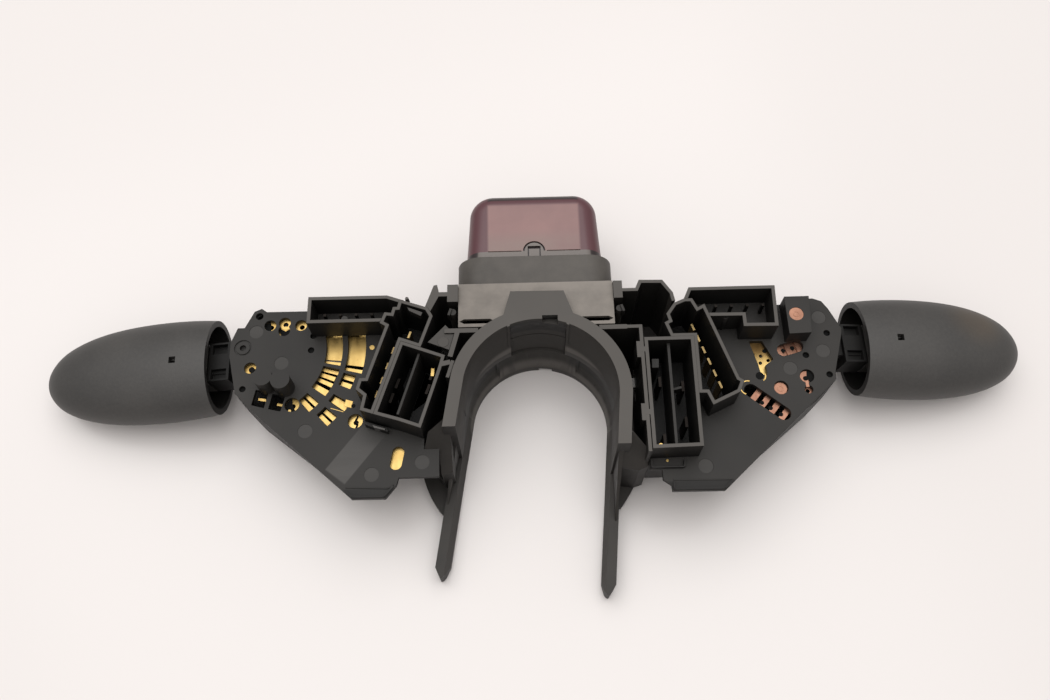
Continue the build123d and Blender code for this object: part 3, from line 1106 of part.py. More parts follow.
def grip(length, yaw):
    """Hollow grip shell with the inner sleeve that holds the tongue, flattened as a whole."""
    start = NECK[1] - MOUTH + SLEEVE_GAP
    end = TONGUE_END - MOUTH
    far = end + SLEEVE_END
    sleeve = grip_block(start, far, TONGUE_HALF_W + SLEEVE_WALL, TONGUE_HALF_H + SLEEVE_WALL)
    rib = grip_block(start + RIB_FROM, far, SLEEVE_WALL / 2, GRIP_R)
    web = grip_block(start + WEB_FROM, far, GRIP_R, SLEEVE_WALL / 2)
    core = egg(length, GRIP_WALL) - (sleeve + rib + web)
    way = grip_block(start - SLEEVE_GAP, end, TONGUE_HALF_W, TONGUE_HALF_H)
    body = egg(length, 0) - core - way
    at, size = GRIP_LATCH
    body = body - Pos(at, LATCH_OFF, GRIP_R) * Box(size, size, 3 * GRIP_WALL)
    return Rot(0, 0, yaw) * tilted(Pos(MOUTH, 0, 0) * scale(body, by=(1, 1, GRIP_FLATNESS)))


def detent_plunger():
    """Spring-loaded plunger in the lever's inner end."""
    length = PLUNGER_TIP - PLUNGER_R - PLUNGER_TAIL
    stem = Pos(-PLUNGER_TAIL - length / 2, 0, PIVOT_Z) * Rot(0, 90, 0) * Cylinder(PLUNGER_R, length)
    return stem + Pos(-PLUNGER_TIP + PLUNGER_R, 0, PIVOT_Z) * Sphere(PLUNGER_R)


def detent_spring():
    length = PLUNGER_TAIL - SPRING_BORE_END
    return coil((-SPRING_BORE_END, 0, PIVOT_Z), (-1, 0, 0), SPRING_R, SPRING_WIRE_R, length, SPRING_TURNS)


def detent_cam(steps):
    """Curved detent block with a groove for each stop of the stalk."""
    body = sector((0, 0), CAM_R[0], CAM_R[1], 180 - CAM_HALF_ANGLE, 180 + CAM_HALF_ANGLE, COVER_REAR, CAM_TOP)
    for angle in steps:
        middle = CAM_R[0] - DETENT_CENTRE
        at = (-middle * cos(radians(angle)), -middle * sin(radians(angle)))
        body = body - rod(at, DETENT_R, COVER_REAR, CAM_TOP)
    return body


def contact_slider():
    """Arc-shaped shoe under the lever's inner end, guided by a stem in the front cover."""
    top = PIVOT_Z - LEVER_HALF_H - SIDE_GAP
    shoe = sector((0, 0), SLIDER_R[0], SLIDER_R[1], 180 - SLIDER_HALF_ANGLE, 180 + SLIDER_HALF_ANGLE,
                  top - SLIDER_T, top)
    return shoe + rod((-SLIDER_STEM_AT, 0), SLIDER_STEM_R, COVER_FRONT + SIDE_GAP, top - SLIDER_T)


def placed(shape, side):
    """Put a mechanism piece at its pivot; the wiper's stalk points to -X."""
    px, py = pivot(side)
    if side == "wiper":
        shape = mirror(shape, about=Plane.YZ)
    return Pos(px, py, 0) * shape


# ------------------------------------------------------------------ self-cancelling pawl
def cancel_pawl():
    """Long pawl from the indicator switch towards the steering hub."""
    body = capsule(PAWL_PIVOT, PAWL_TIP, PAWL_HALF_W, *PAWL_Z) + rod(PAWL_PIVOT, PAWL_R, *PAWL_Z)
    return body - rod(PAWL_PIVOT, PAWL_PIN_R + RUN_FIT, *PAWL_Z)


def cancel_pin():
    return rod(PAWL_PIVOT, PAWL_PIN_R, COVER_REAR, PAWL_Z[1] + PAWL_PIN_TOP)


def pawl_boss():
    """Seat on the front cover that the pawl turns on."""
    seat = rod(PAWL_PIVOT, PAWL_R, COVER_REAR, PAWL_Z[0] - SIDE_GAP)
    return seat - rod(PAWL_PIVOT, PAWL_PIN_R, COVER_REAR, PAWL_Z[0])


def pawl_window():
    """Room in the walls for the pawl's swing."""
    reach = PAWL_PIVOT[0] - PAWL_TIP[0]
    half = reach * sin(radians(PAWL_SWING)) + PAWL_HALF_W + 2 * SIDE_GAP
    low, high = RIGHT_WALL_X + PAWL_WAY[0], RIGHT_WALL_X + PAWL_WAY[1]
    return slab((low, PAWL_TIP[1] - half), (high, PAWL_TIP[1] + half),
                PAWL_Z[0] - 2 * SIDE_GAP, PAWL_Z[1] + 2 * SIDE_GAP)


# ------------------------------------------------------------------ all nodes
def build():
    parts = {
        "column_carrier": column_carrier(),
        "hazard_base": hazard_base(),
        "hazard_collar": hazard_collar(),
        "hazard_button": hazard_button(),
        "hazard_plunger": hazard_plunger(),
        "hazard_contact_bridge": hazard_contact_bridge(),
        "hazard_fixed_contacts": hazard_fixed_contacts(),
        "hazard_springs": hazard_springs(),
        "hazard_lamp": hazard_lamp(),
        "hazard_lamp_holder": hazard_lamp_holder(),
        "wiper_contact_plate": wiper_contact_plate(),
        "indicator_contact_plate": indicator_contact_plate(),
        "wiper_tracks": wiper_tracks(),
        "indicator_pads": indicator_pads(),
        "wiper_top_socket": top_box(WIPER_TOP_BOX, WIPER_CONNECTOR, BOX_POSTS["wiper"]),
        "indicator_top_socket": top_box(INDICATOR_TOP_BOX, INDICATOR_CONNECTOR, BOX_POSTS["indicator"]),
        "wiper_top_pins": top_pins(WIPER_TOP_PINS),
        "indicator_top_pins": top_pins(INDICATOR_TOP_PINS),
        "wiper_harness_socket": socket(WIPER_CONNECTOR, SOCKET_FLOOR),
        "indicator_harness_socket": socket(INDICATOR_CONNECTOR, SOCKET_FLOOR),
        "wiper_harness_pins": slanted_terminals(WIPER_TERMINALS, -TERMINAL_SLANT),
        "indicator_harness_pins": slanted_terminals(INDICATOR_TERMINALS, TERMINAL_SLANT),
        "wiper_relay_socket": wiper_relay_socket(),
        "indicator_relay_socket": indicator_relay_socket(),
        "wiper_relay_blades": relay_blades(WIPER_BLADES),
        "indicator_relay_blades": relay_blades(INDICATOR_BLADES),
        "cancel_pawl": cancel_pawl(),
        "cancel_pawl_pin": cancel_pin(),
    }
    steps = {"wiper": [-7, 0, 7, 14, 21], "indicator": [-10, 0, 10]}
    reach = {"wiper": WIPER_ARM, "indicator": INDICATOR_ARM}
    yaw = {"wiper": -WIPER_YAW, "indicator": INDICATOR_YAW}
    for side in ("wiper", "indicator"):
        parts[side + "_housing"] = housing(side)
        parts[side + "_front_cover"] = front_cover(side)
        parts[side + "_cover_screws"] = cover_screws(side)
        parts[side + "_rotor"] = placed(rotor(reach[side]), side)
        parts[side + "_contact_bridge"] = placed(contact_bridge(reach[side]), side)
        parts[side + "_pivot_pin"] = placed(pivot_pin(), side)
        parts[side + "_lever"] = placed(lever(yaw[side]), side)
        parts[side + "_grip"] = placed(grip(GRIP_LENGTH[side], yaw[side]), side)
        parts[side + "_detent_plunger"] = placed(detent_plunger(), side)
        parts[side + "_detent_spring"] = placed(detent_spring(), side)
        parts[side + "_detent_cam"] = placed(detent_cam(steps[side]), side)
        parts[side + "_pull_slider"] = placed(contact_slider(), side)
    return parts


for name, shape in build().items():
    export_step(shape, "parts/" + name + ".step")
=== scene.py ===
import json
from math import cos, radians, sin
import bmesh
import bpy
from mathutils import Matrix, Vector


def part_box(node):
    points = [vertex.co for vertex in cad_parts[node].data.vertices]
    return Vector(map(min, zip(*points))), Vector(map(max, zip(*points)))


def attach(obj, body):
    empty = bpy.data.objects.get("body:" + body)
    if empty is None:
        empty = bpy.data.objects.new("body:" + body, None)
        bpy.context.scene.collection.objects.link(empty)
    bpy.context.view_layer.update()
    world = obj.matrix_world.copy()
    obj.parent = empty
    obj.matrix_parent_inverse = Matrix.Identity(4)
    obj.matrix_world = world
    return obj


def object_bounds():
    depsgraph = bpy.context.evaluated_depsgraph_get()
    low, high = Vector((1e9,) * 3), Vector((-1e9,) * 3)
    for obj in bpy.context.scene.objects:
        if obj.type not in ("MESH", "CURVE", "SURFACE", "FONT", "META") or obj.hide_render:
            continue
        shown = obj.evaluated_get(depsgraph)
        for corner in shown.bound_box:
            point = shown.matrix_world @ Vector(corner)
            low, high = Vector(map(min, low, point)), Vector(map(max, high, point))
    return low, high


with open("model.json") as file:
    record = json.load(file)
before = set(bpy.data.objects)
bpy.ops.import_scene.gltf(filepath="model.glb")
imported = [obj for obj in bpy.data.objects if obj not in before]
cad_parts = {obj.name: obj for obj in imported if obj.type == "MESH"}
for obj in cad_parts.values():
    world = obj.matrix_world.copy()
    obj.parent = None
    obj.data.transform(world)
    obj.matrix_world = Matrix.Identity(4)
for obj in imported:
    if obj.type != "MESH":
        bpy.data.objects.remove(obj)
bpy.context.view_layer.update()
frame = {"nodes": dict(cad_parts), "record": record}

MM = 0.001
NODES = frame["nodes"]

# ------------------------------------------------------------------ camera
AIM = Vector((-5.3, 23.0, 30.0)) * MM
DISTANCE = 366 * MM
TILT = 24.0             # degrees from straight down
ROLL = -1.45
LENS = 32.57            # for a 36 mm wide sensor


def set_camera():
    turn = Matrix.Rotation(radians(TILT), 4, "X") @ Matrix.Rotation(radians(ROLL), 4, "Z")
    data = bpy.data.cameras.new("camera")
    data.sensor_fit = "HORIZONTAL"
    data.sensor_width = 36.0
    data.lens = LENS
    data.clip_start = 0.01
    camera = bpy.data.objects.new("camera", data)
    camera.matrix_world = Matrix.Translation(AIM) @ turn @ Matrix.Translation((0, 0, DISTANCE))
    bpy.context.scene.collection.objects.link(camera)
    bpy.context.scene.camera = camera


# ------------------------------------------------------------------ node maths
class Number:
    """A number socket that takes Python arithmetic; each step adds a Math node."""

    def __init__(self, finish, socket):
        self.finish = finish
        self.socket = socket

    def step(self, operation, first, second=None):
        values = [first] if second is None else [first, second]
        return self.finish.node("ShaderNodeMath", {"operation": operation}, values).number()

    def __add__(self, other):
        return self.step("ADD", self, other)

    __radd__ = __add__

    def __mul__(self, other):
        return self.step("MULTIPLY", self, other)

    __rmul__ = __mul__

    def __sub__(self, other):
        return self.step("SUBTRACT", self, other)

    def __rsub__(self, other):
        return self.step("SUBTRACT", other, self)

    def __truediv__(self, other):
        return self.step("DIVIDE", self, other)

    def __pow__(self, other):
        return self.step("POWER", self, other)

    def over(self, other):
        return self.step("MAXIMUM", self, other)

    def under(self, other):
        return self.step("MINIMUM", self, other)

    def size(self):
        return self.step("ABSOLUTE", self)

    def ramp(self, low, high):
        """0 at low, 1 at high, smooth between."""
        settings = {"interpolation_type": "SMOOTHSTEP", "clamp": True}
        inputs = {"Value": self, "From Min": low, "From Max": high}
        return self.finish.node("ShaderNodeMapRange", settings, inputs).number()

    def fade(self, low, high):
        """1 at low, 0 at high, smooth between."""
        return 1.0 - self.ramp(low, high)


class Made:
    """A node that was added, with its outputs."""

    def __init__(self, finish, node):
        self.finish = finish
        self.node = node

    def out(self, name=0):
        return self.node.outputs[name]

    def number(self, name=0):
        return Number(self.finish, self.out(name))


class Finish:
    """A procedural material round one Principled shader."""

    def __init__(self, name):
        self.material = bpy.data.materials.new(name)
        self.material.use_nodes = True
        self.tree = self.material.node_tree
        self.shader = self.tree.nodes["Principled BSDF"]
        self.place = self.node("ShaderNodeTexCoord").out("Object")
        split = self.node("ShaderNodeSeparateXYZ", {}, [self.place])
        self.x, self.y, self.z = (split.number(axis) for axis in "XYZ")
        normal = self.node("ShaderNodeNewGeometry").out("Normal")
        facing = self.node("ShaderNodeSeparateXYZ", {}, [normal])
        self.across, self.fore, self.up = (facing.number(axis) for axis in "XYZ")

    def node(self, kind, settings=None, inputs=None):
        """Add a node: settings first, then the values or links of its sockets."""
        node = self.tree.nodes.new(kind)
        for name, value in (settings or {}).items():
            setattr(node, name, value)
        pairs = enumerate(inputs) if isinstance(inputs, (list, tuple)) else (inputs or {}).items()
        for name, value in pairs:
            self.feed(node.inputs[name], value)
        return Made(self, node)

    def feed(self, socket, value):
        if isinstance(value, Number):
            value = value.socket
        if isinstance(value, bpy.types.NodeSocket):
            self.tree.links.new(value, socket)
        else:
            socket.default_value = value

    def set(self, **values):
        """Set or link sockets of the shader; an underscore stands for a space."""
        for name, value in values.items():
            self.feed(self.shader.inputs[name.replace("_", " ")], value)

    def noise(self, scale, detail=3.0, roughness=0.5, place=None):
        inputs = {"Vector": place or self.place, "Scale": scale, "Detail": detail,
                  "Roughness": roughness}
        return self.node("ShaderNodeTexNoise", {"noise_dimensions": "3D"}, inputs).number("Fac")

    def cells(self, scale):
        inputs = {"Vector": self.place, "Scale": scale}
        return self.node("ShaderNodeTexVoronoi", {"feature": "F1"}, inputs).number("Distance")

    def stretched(self, x=1.0, y=1.0, z=1.0, turn=0.0):
        """The object's place, scaled and turned about Z, for drawn-out noise."""
        settings = {"vector_type": "POINT"}
        inputs = {"Vector": self.place, "Rotation": (0, 0, radians(turn)), "Scale": (x, y, z)}
        return self.node("ShaderNodeMapping", settings, inputs).out()

    def away(self, x, y):
        """Metres from the upright line through x, y in millimetres."""
        return ((self.x - x * MM) ** 2.0 + (self.y - y * MM) ** 2.0) ** 0.5

    def mix(self, share, first, second):
        """A colour between two colours."""
        node = self.tree.nodes.new("ShaderNodeMix")
        node.data_type = "RGBA"
        self.feed(node.inputs["Factor"], share)
        self.feed(node.inputs[6], first)
        self.feed(node.inputs[7], second)
        return node.outputs[2]

    def bump(self, height, distance, strength):
        inputs = {"Strength": strength, "Distance": distance, "Height": height}
        return self.node("ShaderNodeBump", {}, inputs).out()


def shade(level, warm=0.0):
    """A grey of a given level, a little warm or cool."""
    return (level * (1 + warm), level, level * (1 - warm), 1.0)


# ------------------------------------------------------------------ plastics
# millimetres, each pair from where a tone starts to where it ends
WALL_DEPTH = (26.0, 42.5)       # painted shade: sockets darken down from the first to the second height
RIM_HEIGHT = (42.5, 43.8)       # painted highlight on the upper rims, lit from above
LAND_RADIUS = (27.4, 28.0)      # seats inside the ring, paler with painted bounce light from the floor
LAND_Y = (-12.0, 4.0)
WELL_RADIUS = (30.5, 31.0)      # painted shade on the walls inside the ring
LIP_Y = (-31.4, -30.9)          # painted shade along the lower step of the contact plates
SUNK_DEPTH = (-0.2, -0.1)       # painted shade on flat faces sunk below the height given with the finish
DISC_RADIUS = (2.6, 2.75)
PALE_DISCS = [(-109.2, 32.6), (-98.4, 19.2), (-62.1, -25.8), (-43.8, -21.5), (-87.4, -8.5),
              (108.8, 32.9), (108.4, 18.7), (95.0, 11.8), (59.2, -25.7)]
RUBBED = ((-62.2, -9.2), (-75.4, -26.4))      # middle of the rubbed strip's two ends
RUBBED_HALF = (4.4, 4.9)
SEAM_Y = 62.0                   # seam between the hazard button's red cap and its grey skirt
ARCH_R = 4.4                    # grey arch over the latch
BUTTON_SIDE = (17.6, 18.8)      # painted shade on the button's rounded sides, from its middle
BUTTON_CROWN = (-7.3, -5.8)     # painted shade on the button's rounded end, from its end
BUTTON_WEAR = (2.0, 11.0)       # dull patch, from the seam
SKIRT_DEPTH = (-4.0, -3.5)      # grey skirt, from the button's rear face
GRIP_PATCH = (172.0, 33.0)      # faint brown patch on one grip
PATCH_RADIUS = (3.0, 15.0)
STALK = (23.8, 18.0)            # height and depth of the stalks' axes
PAINTED_RECESS_SHADE = shade(0.010, 0.06)
DUST_AND_TOP_LIGHT = shade(0.36, 0.06)
PAINTED_RIM_HIGHLIGHT = shade(0.25, 0.10)
PAINTED_BOUNCE_SEAT = shade(0.11, 0.10)
RUBBED_PLATE = shade(0.075, 0.06)
MAROON, PALE_MAROON = (0.185, 0.095, 0.090, 1), (0.235, 0.125, 0.115, 1)
PAINTED_SHADE_MAROON, DULL_MAROON = (0.085, 0.028, 0.034, 1), (0.185, 0.140, 0.120, 1)
GROOVE = (0.018, 0.010, 0.010, 1)
SKIRT, PALE_SKIRT = (0.10, 0.085, 0.076, 1), (0.16, 0.135, 0.120, 1)
PATCH_BROWN = (0.095, 0.066, 0.040, 1)


def metres(pair, start=0.0):
    """A pair of millimetres as metres from a start."""
    return [start + value * MM for value in pair]


def painted_shade_and_bounce(f, base, level, warm, deep, lands):
    """Painted shade on the steep walls and in the depths of one plastic, and painted bounce light
    on the seats inside the ring.
    """
    # painted shade: steep walls darker, as if turned from the light
    steep = f.up.fade(0.02, 0.10)
    base = f.mix(steep * 0.68, base, shade(level * 0.26, warm))
    painted_deep_shade = shade(level * 0.12, warm)
    if deep:
        base = f.mix(f.z.fade(*metres(WALL_DEPTH)) * deep, base, painted_deep_shade)
    if lands:
        # painted bounce light: seats inside the ring paler, as if lit from the floor
        centre = f.away(0, 0)
        bounce_lit = centre.fade(*metres(LAND_RADIUS)) * f.y.ramp(*metres(LAND_Y))
        base = f.mix(bounce_lit * 0.8, base, PAINTED_BOUNCE_SEAT)
        base = f.mix(steep * centre.fade(*metres(WELL_RADIUS)) * 0.6, base, painted_deep_shade)
    return base


def moulded(name, level, warm=0.06, rough=0.55, dust_and_top_light=0.0, rim=0.0, deep=0.0, worn=None, sunk=None,
            lands=False):
    """Glass-filled nylon: mottled and matt, with painted shade in its depths, dust and painted top
    light on its upward faces, and painted highlights on its upper rims.
    """
    f = Finish(name)
    mottle = f.noise(180, 4, 0.6)
    cloud = f.noise(22, 3, 0.5)
    streak = f.noise(60, 3, 0.6, f.stretched(0.25, 2.0, 1.0, 18))
    tone = (mottle - 0.5) * 0.55 + (cloud - 0.5) * 0.7 + (streak - 0.5) * 0.35 + 0.5
    base = f.mix(tone.ramp(0.1, 0.9), shade(level * 0.72, warm), shade(level * 1.35, warm))
    base = painted_shade_and_bounce(f, base, level, warm, deep, lands)
    flat = f.up.ramp(0.6, 0.95)
    if sunk:
        # painted shade in the sunken flat faces
        base = f.mix(flat * f.z.fade(*metres(SUNK_DEPTH, sunk * MM)), base, PAINTED_RECESS_SHADE)
    # dust and painted top light on upward faces
    dust_and_light_film = flat * (cloud * 1.3 - 0.15).ramp(0.25, 0.85) * dust_and_top_light
    base = f.mix(dust_and_light_film, base, DUST_AND_TOP_LIGHT)
    # painted highlight: upward faces of the upper rims lighter
    base = f.mix(flat * f.z.ramp(*metres(RIM_HEIGHT)) * rim, base, PAINTED_RIM_HIGHLIGHT)
    if worn:
        # painted shade along the plates' lower step
        base = f.mix(f.y.fade(*metres(LIP_Y)) * 0.7, base, shade(level * 0.35, warm))
        base = f.mix(worn(f) * flat * (streak * 0.7 + 0.35), base, RUBBED_PLATE)
    grain = f.noise(2600, 2, 0.5)
    soft = f.noise(420, 3, 0.6)
    f.set(Base_Color=base, Roughness=(tone * 0.22 + (rough - 0.11)).under(0.95))
    f.set(Normal=f.bump(grain * 0.5 + soft * 0.5, 0.00006, 0.5), Specular_IOR_Level=0.3)
    return f.material


def plate_wear(f):
    """Share of paler plastic: moulding discs on both plates and a rubbed strip on one."""
    first, last = Vector(RUBBED[0]), Vector(RUBBED[1])
    run = (last - first).normalized()
    x, y = f.x - first.x * MM, f.y - first.y * MM
    length = (last - first).length * MM
    along = x * run.x + y * run.y
    strip = along.ramp(-0.004, length * 0.5) * along.fade(length - 0.0006, length + 0.0003)
    share = strip * (x * run.y - y * run.x).size().fade(*metres(RUBBED_HALF))
    for at in PALE_DISCS:
        share = share.over(f.away(*at).fade(*metres(DISC_RADIUS)) * 0.5)
    return share


def grip_skin(name):
    """Soft black skin of the stalk grips, with a fine spark-eroded grain and painted shade inside
    the mouth and on the end face.
    """
    f = Finish(name)
    cloud = f.noise(35, 3, 0.5)
    fine = f.noise(900, 3, 0.6)
    tone = (cloud - 0.5) * 0.6 + (fine - 0.5) * 0.5 + 0.5
    base = f.mix(tone.ramp(0.15, 0.85), shade(0.030, 0.06), shade(0.053, 0.08))
    base = f.mix(f.away(*GRIP_PATCH).fade(*metres(PATCH_RADIUS)) * cloud * 0.7, base, PATCH_BROWN)
    # painted shade inside the mouth and on the end face
    outward = (f.z - STALK[1] * MM) * f.up + (f.y - STALK[0] * MM) * f.fore
    ended = f.x * f.across / f.x.size()
    inside = outward.fade(-0.004, -0.001).over(ended.fade(-0.5, -0.3))
    base = f.mix(inside * 0.85, base, shade(0.007, 0.10))
    grain = f.cells(1900) * 0.7 + f.noise(1400, 2, 0.5) * 0.5
    f.set(Base_Color=base, Roughness=tone * 0.16 + 0.44, Normal=f.bump(grain, 0.00008, 0.35))
    return f.material


def hazard_red(name):
    """Dull, slightly see-through maroon plastic of the hazard button, with painted shade on its
    rounded sides and end.
    """
    f = Finish(name)
    low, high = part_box("hazard_button")
    middle = (low.x + high.x) / 2
    seam = SEAM_Y * MM
    # painted shade on the rounded sides and end of the button
    side = (f.x - middle).size().ramp(*metres(BUTTON_SIDE))
    edge = side.over(f.y.ramp(*metres(BUTTON_CROWN, high.y)))
    cloud = f.noise(45, 3, 0.55)
    face = f.mix(cloud.ramp(0.25, 0.75), MAROON, PALE_MAROON)
    worn = f.y.fade(*metres(BUTTON_WEAR, seam)) * cloud.ramp(0.2, 0.7)
    face = f.mix(worn * 0.7, face, DULL_MAROON)
    base = f.mix(edge, face, PAINTED_SHADE_MAROON)
    arch = f.away(middle / MM, SEAM_Y).fade(*metres((-0.1, 0.0), ARCH_R * MM))
    rear = f.z.ramp(*metres(SKIRT_DEPTH, high.z))
    skirt = f.y.fade(*metres((-0.1, 0.0), seam)).over(arch) * rear
    base = f.mix(skirt, base, f.mix(cloud, SKIRT, PALE_SKIRT))
    groove = skirt * f.z.fade(*metres((-0.5, -0.2), high.z))
    line = (1.0 - side) * f.z.fade(*metres((-0.7, -0.3), high.z))
    base = f.mix(groove.over(line), base, GROOVE)
    f.set(Base_Color=base, Roughness=cloud * 0.15 + 0.30, Coat_Weight=0.12, Coat_Roughness=0.35)
    f.set(Normal=f.bump(f.noise(500, 3, 0.5), 0.00003, 0.4))
    return f.material


# ------------------------------------------------------------------ metals
BLADE_SIDE = (88.6, 88.8)       # the brass blade among the copper pads lies left of this
BLADE_FOOT_Y = (7.8, 8.0)
BLADE_FADE = (12.0, 21.0)       # painted shade: it darkens towards the connector
TARNISH = (0.03, 0.02, 0.015, 1)
BRASS, DARK_BRASS = (0.62, 0.44, 0.165, 1), (0.42, 0.27, 0.085, 1)
SHADED_BRASS = (0.20, 0.12, 0.045, 1)
TINNED, DARK_TINNED = (0.46, 0.34, 0.15, 1), (0.20, 0.13, 0.06, 1)
COPPER, DARK_COPPER = (0.38, 0.20, 0.135, 1), (0.25, 0.125, 0.085, 1)
# near-black metal for contacts deep in the sockets: painted shade
SHADED_CONTACT, DARKER_SHADED_CONTACT = (0.022, 0.019, 0.017, 1), (0.012, 0.010, 0.009, 1)
# near-black screws: painted shade of the holes they sit in
SCREW, DARK_SCREW = (0.050, 0.048, 0.045, 1), (0.025, 0.024, 0.022, 1)


def metal(name, pale, dark, rough=0.26, scratches=0.3, spots=0.0, blade=None):
    """Stamped strip: fine drawn lines, faint tarnish and a few dark specks."""
    f = Finish(name)
    cloud = f.noise(120, 4, 0.6)
    lines = f.noise(700, 2, 0.5, f.stretched(1.0, 0.06, 1.0, 25))
    speck = f.noise(800, 2, 0.5).ramp(0.70, 0.76) * spots
    tone = ((cloud - 0.5) * 0.9 + 0.5).ramp(0.15, 0.85)
    base = f.mix(tone, dark, pale)
    if blade:
        share = f.x.fade(*metres(BLADE_SIDE)) * f.y.ramp(*metres(BLADE_FOOT_Y))
        base = f.mix(share, base, f.mix(f.y.ramp(*metres(BLADE_FADE)), *blade))
    base = f.mix(speck, base, TARNISH)
    f.set(Base_Color=base, Roughness=lines * scratches + (rough - scratches / 2))
    f.set(Metallic=1.0 - speck, Normal=f.bump(lines * 0.6 + cloud * 0.4, 0.00004, 0.35))
    return f.material


def clear_glass(name):
    """Glass of the small lamp, faintly hazed."""
    f = Finish(name)
    haze = f.noise(300, 2, 0.5)
    f.set(Base_Color=(0.95, 0.95, 0.93, 1), Roughness=haze * 0.08 + 0.02, Transmission_Weight=0.9)
    return f.material


# moulded plastics: grey level, warmth, roughness, then what else each shows
PLASTICS = {
    "carrier_plastic": (0.020, 0.14, 0.55, {"dust_and_top_light": 0.05, "rim": 0.18, "lands": True}),
    "hazard_base_plastic": (0.165, 0.13, 0.52, {"dust_and_top_light": 0.10, "sunk": 41.8}),
    "hazard_collar_plastic": (0.058, 0.12, 0.52, {"dust_and_top_light": 0.05}),
    "inner_plastic": (0.45, 0.04, 0.45, {}),
    "cover_plastic": (0.016, 0.06, 0.55, {}),
    "contact_plate_plastic": (0.0140, 0.12, 0.55, {"dust_and_top_light": 0.025, "worn": plate_wear}),
    "socket_plastic": (0.018, 0.12, 0.55, {"dust_and_top_light": 0.03, "rim": 0.20, "deep": 0.9}),
    "housing_plastic": (0.016, 0.07, 0.55, {}),
    "lever_plastic": (0.006, 0.10, 0.60, {}),
    "dusty_plastic": (0.13, 0.06, 0.55, {}),
    # painted shadow: near-black pieces put in holes, gaps and windows
    "painted_shadow_black": (0.0015, 0.05, 0.90, {}),
}
# metals: pale and dark tone, roughness, then what else each shows
METALS = {
    "brass": (BRASS, DARK_BRASS, 0.36, {"spots": 0.5}),
    "tinned_brass": (TINNED, DARK_TINNED, 0.42, {}),
    "copper": (COPPER, DARK_COPPER, 0.40, {"spots": 0.4, "blade": (BRASS, SHADED_BRASS)}),
    "shaded_contact_metal": (SHADED_CONTACT, DARKER_SHADED_CONTACT, 0.5, {}),
    "spring_steel": (shade(0.62), shade(0.42), 0.26, {}),
    "steel": (shade(0.66), shade(0.48), 0.26, {}),
    "screw_steel": (SCREW, DARK_SCREW, 0.5, {}),
}


def make_finishes():
    made = {name: moulded(name, *values, **more) for name, (*values, more) in PLASTICS.items()}
    made.update({name: metal(name, *values, **more) for name, (*values, more) in METALS.items()})
    made["hazard_button_plastic"] = hazard_red("hazard_button_plastic")
    made["lamp_glass"] = clear_glass("lamp_glass")
    made["grip_plastic"] = grip_skin("grip_plastic")
    return made


# radius of the moulded edges by slot, millimetres
ROUNDED = {"carrier_plastic": 0.2, "hazard_base_plastic": 0.18, "hazard_collar_plastic": 0.3,
           "contact_plate_plastic": 0.12, "socket_plastic": 0.18, "housing_plastic": 0.2,
           "cover_plastic": 0.2, "lever_plastic": 0.25}
SHADED_CONTACT_PARTS = ("_top_pins", "_relay_blades")     # endings of the nodes whose contacts get near-black metal as painted shade in the sockets
WELD_GAP = 0.00001


def add_bevel(piece, width, segments, angle):
    """Round the edges sharper than an angle, to a width in millimetres."""
    bevel = piece.modifiers.new("edges", "BEVEL")
    bevel.width = width * MM
    bevel.segments = segments
    bevel.limit_method = "ANGLE"
    bevel.angle_limit = radians(angle)
    return bevel


def dress_nodes(finishes):
    """Give every CAD node the finish of its slot, near-black metal as painted shade for the
    contacts deep in the sockets, and thin rounded edges.
    """
    for part in frame["record"]["subparts"]:
        node, slot = NODES[part["node"]], part["material_slot"]
        # contacts deep in the sockets get near-black metal: painted shade
        dull = part["node"].endswith(SHADED_CONTACT_PARTS)
        node.data.materials.clear()
        node.data.materials.append(finishes["shaded_contact_metal" if dull else slot])
        if slot in ROUNDED:
            node.modifiers.new("weld", "WELD").merge_threshold = WELD_GAP
            flat = node.modifiers.new("flat", "DECIMATE")
            flat.decimate_type = "DISSOLVE"
            flat.angle_limit = radians(2.0)
            add_bevel(node, ROUNDED[slot], 2, 38).use_clamp_overlap = True


# ------------------------------------------------------------------ small pieces
def put(name, mesh, finish, edge=0.15, body="root"):
    """A finished piece from a bmesh: rounded edges, material and body."""
    bmesh.ops.recalc_face_normals(mesh, faces=mesh.faces)
    data = bpy.data.meshes.new(name)
    mesh.to_mesh(data)
    mesh.free()
    data.shade_smooth()
    piece = bpy.data.objects.new(name, data)
    bpy.context.scene.collection.objects.link(piece)
    add_bevel(piece, edge, 3, 32).harden_normals = True
    data.materials.append(finish)
    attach(piece, body)


def add_prism(mesh, corners, z0, z1):
    """A prism over a closed outline in millimetres."""
    spots = [(x * MM, y * MM, z0 * MM) for x, y in corners]
    made = [bmesh.ops.create_vert(mesh, co=spot)["vert"][0] for spot in spots]
    cap = bmesh.ops.contextual_create(mesh, geom=made)["faces"]
    raised = bmesh.ops.extrude_face_region(mesh, geom=cap)["geom"]
    verts = [item for item in raised if isinstance(item, bmesh.types.BMVert)]
    bmesh.ops.translate(mesh, verts=verts, vec=(0, 0, (z1 - z0) * MM))


def add_disc(mesh, at, radius, z0, z1, top=None):
    """An upright disc or peg; top is the radius at its rear end."""
    place = Matrix.Translation((at[0] * MM, at[1] * MM, (z0 + z1) / 2 * MM))
    bmesh.ops.create_cone(mesh, cap_ends=True, segments=40, radius1=radius * MM,
                          radius2=(top or radius) * MM, depth=(z1 - z0) * MM, matrix=place)


def add_band(mesh, a, b, width, z0, z1):
    """A straight bar between two places."""
    run = Vector((b[0] - a[0], b[1] - a[1]))
    side = Vector((-run.y, run.x)).normalized() * width / 2
    corners = [(a[0] + side.x, a[1] + side.y), (a[0] - side.x, a[1] - side.y),
               (b[0] - side.x, b[1] - side.y), (b[0] + side.x, b[1] + side.y)]
    add_prism(mesh, corners, z0, z1)


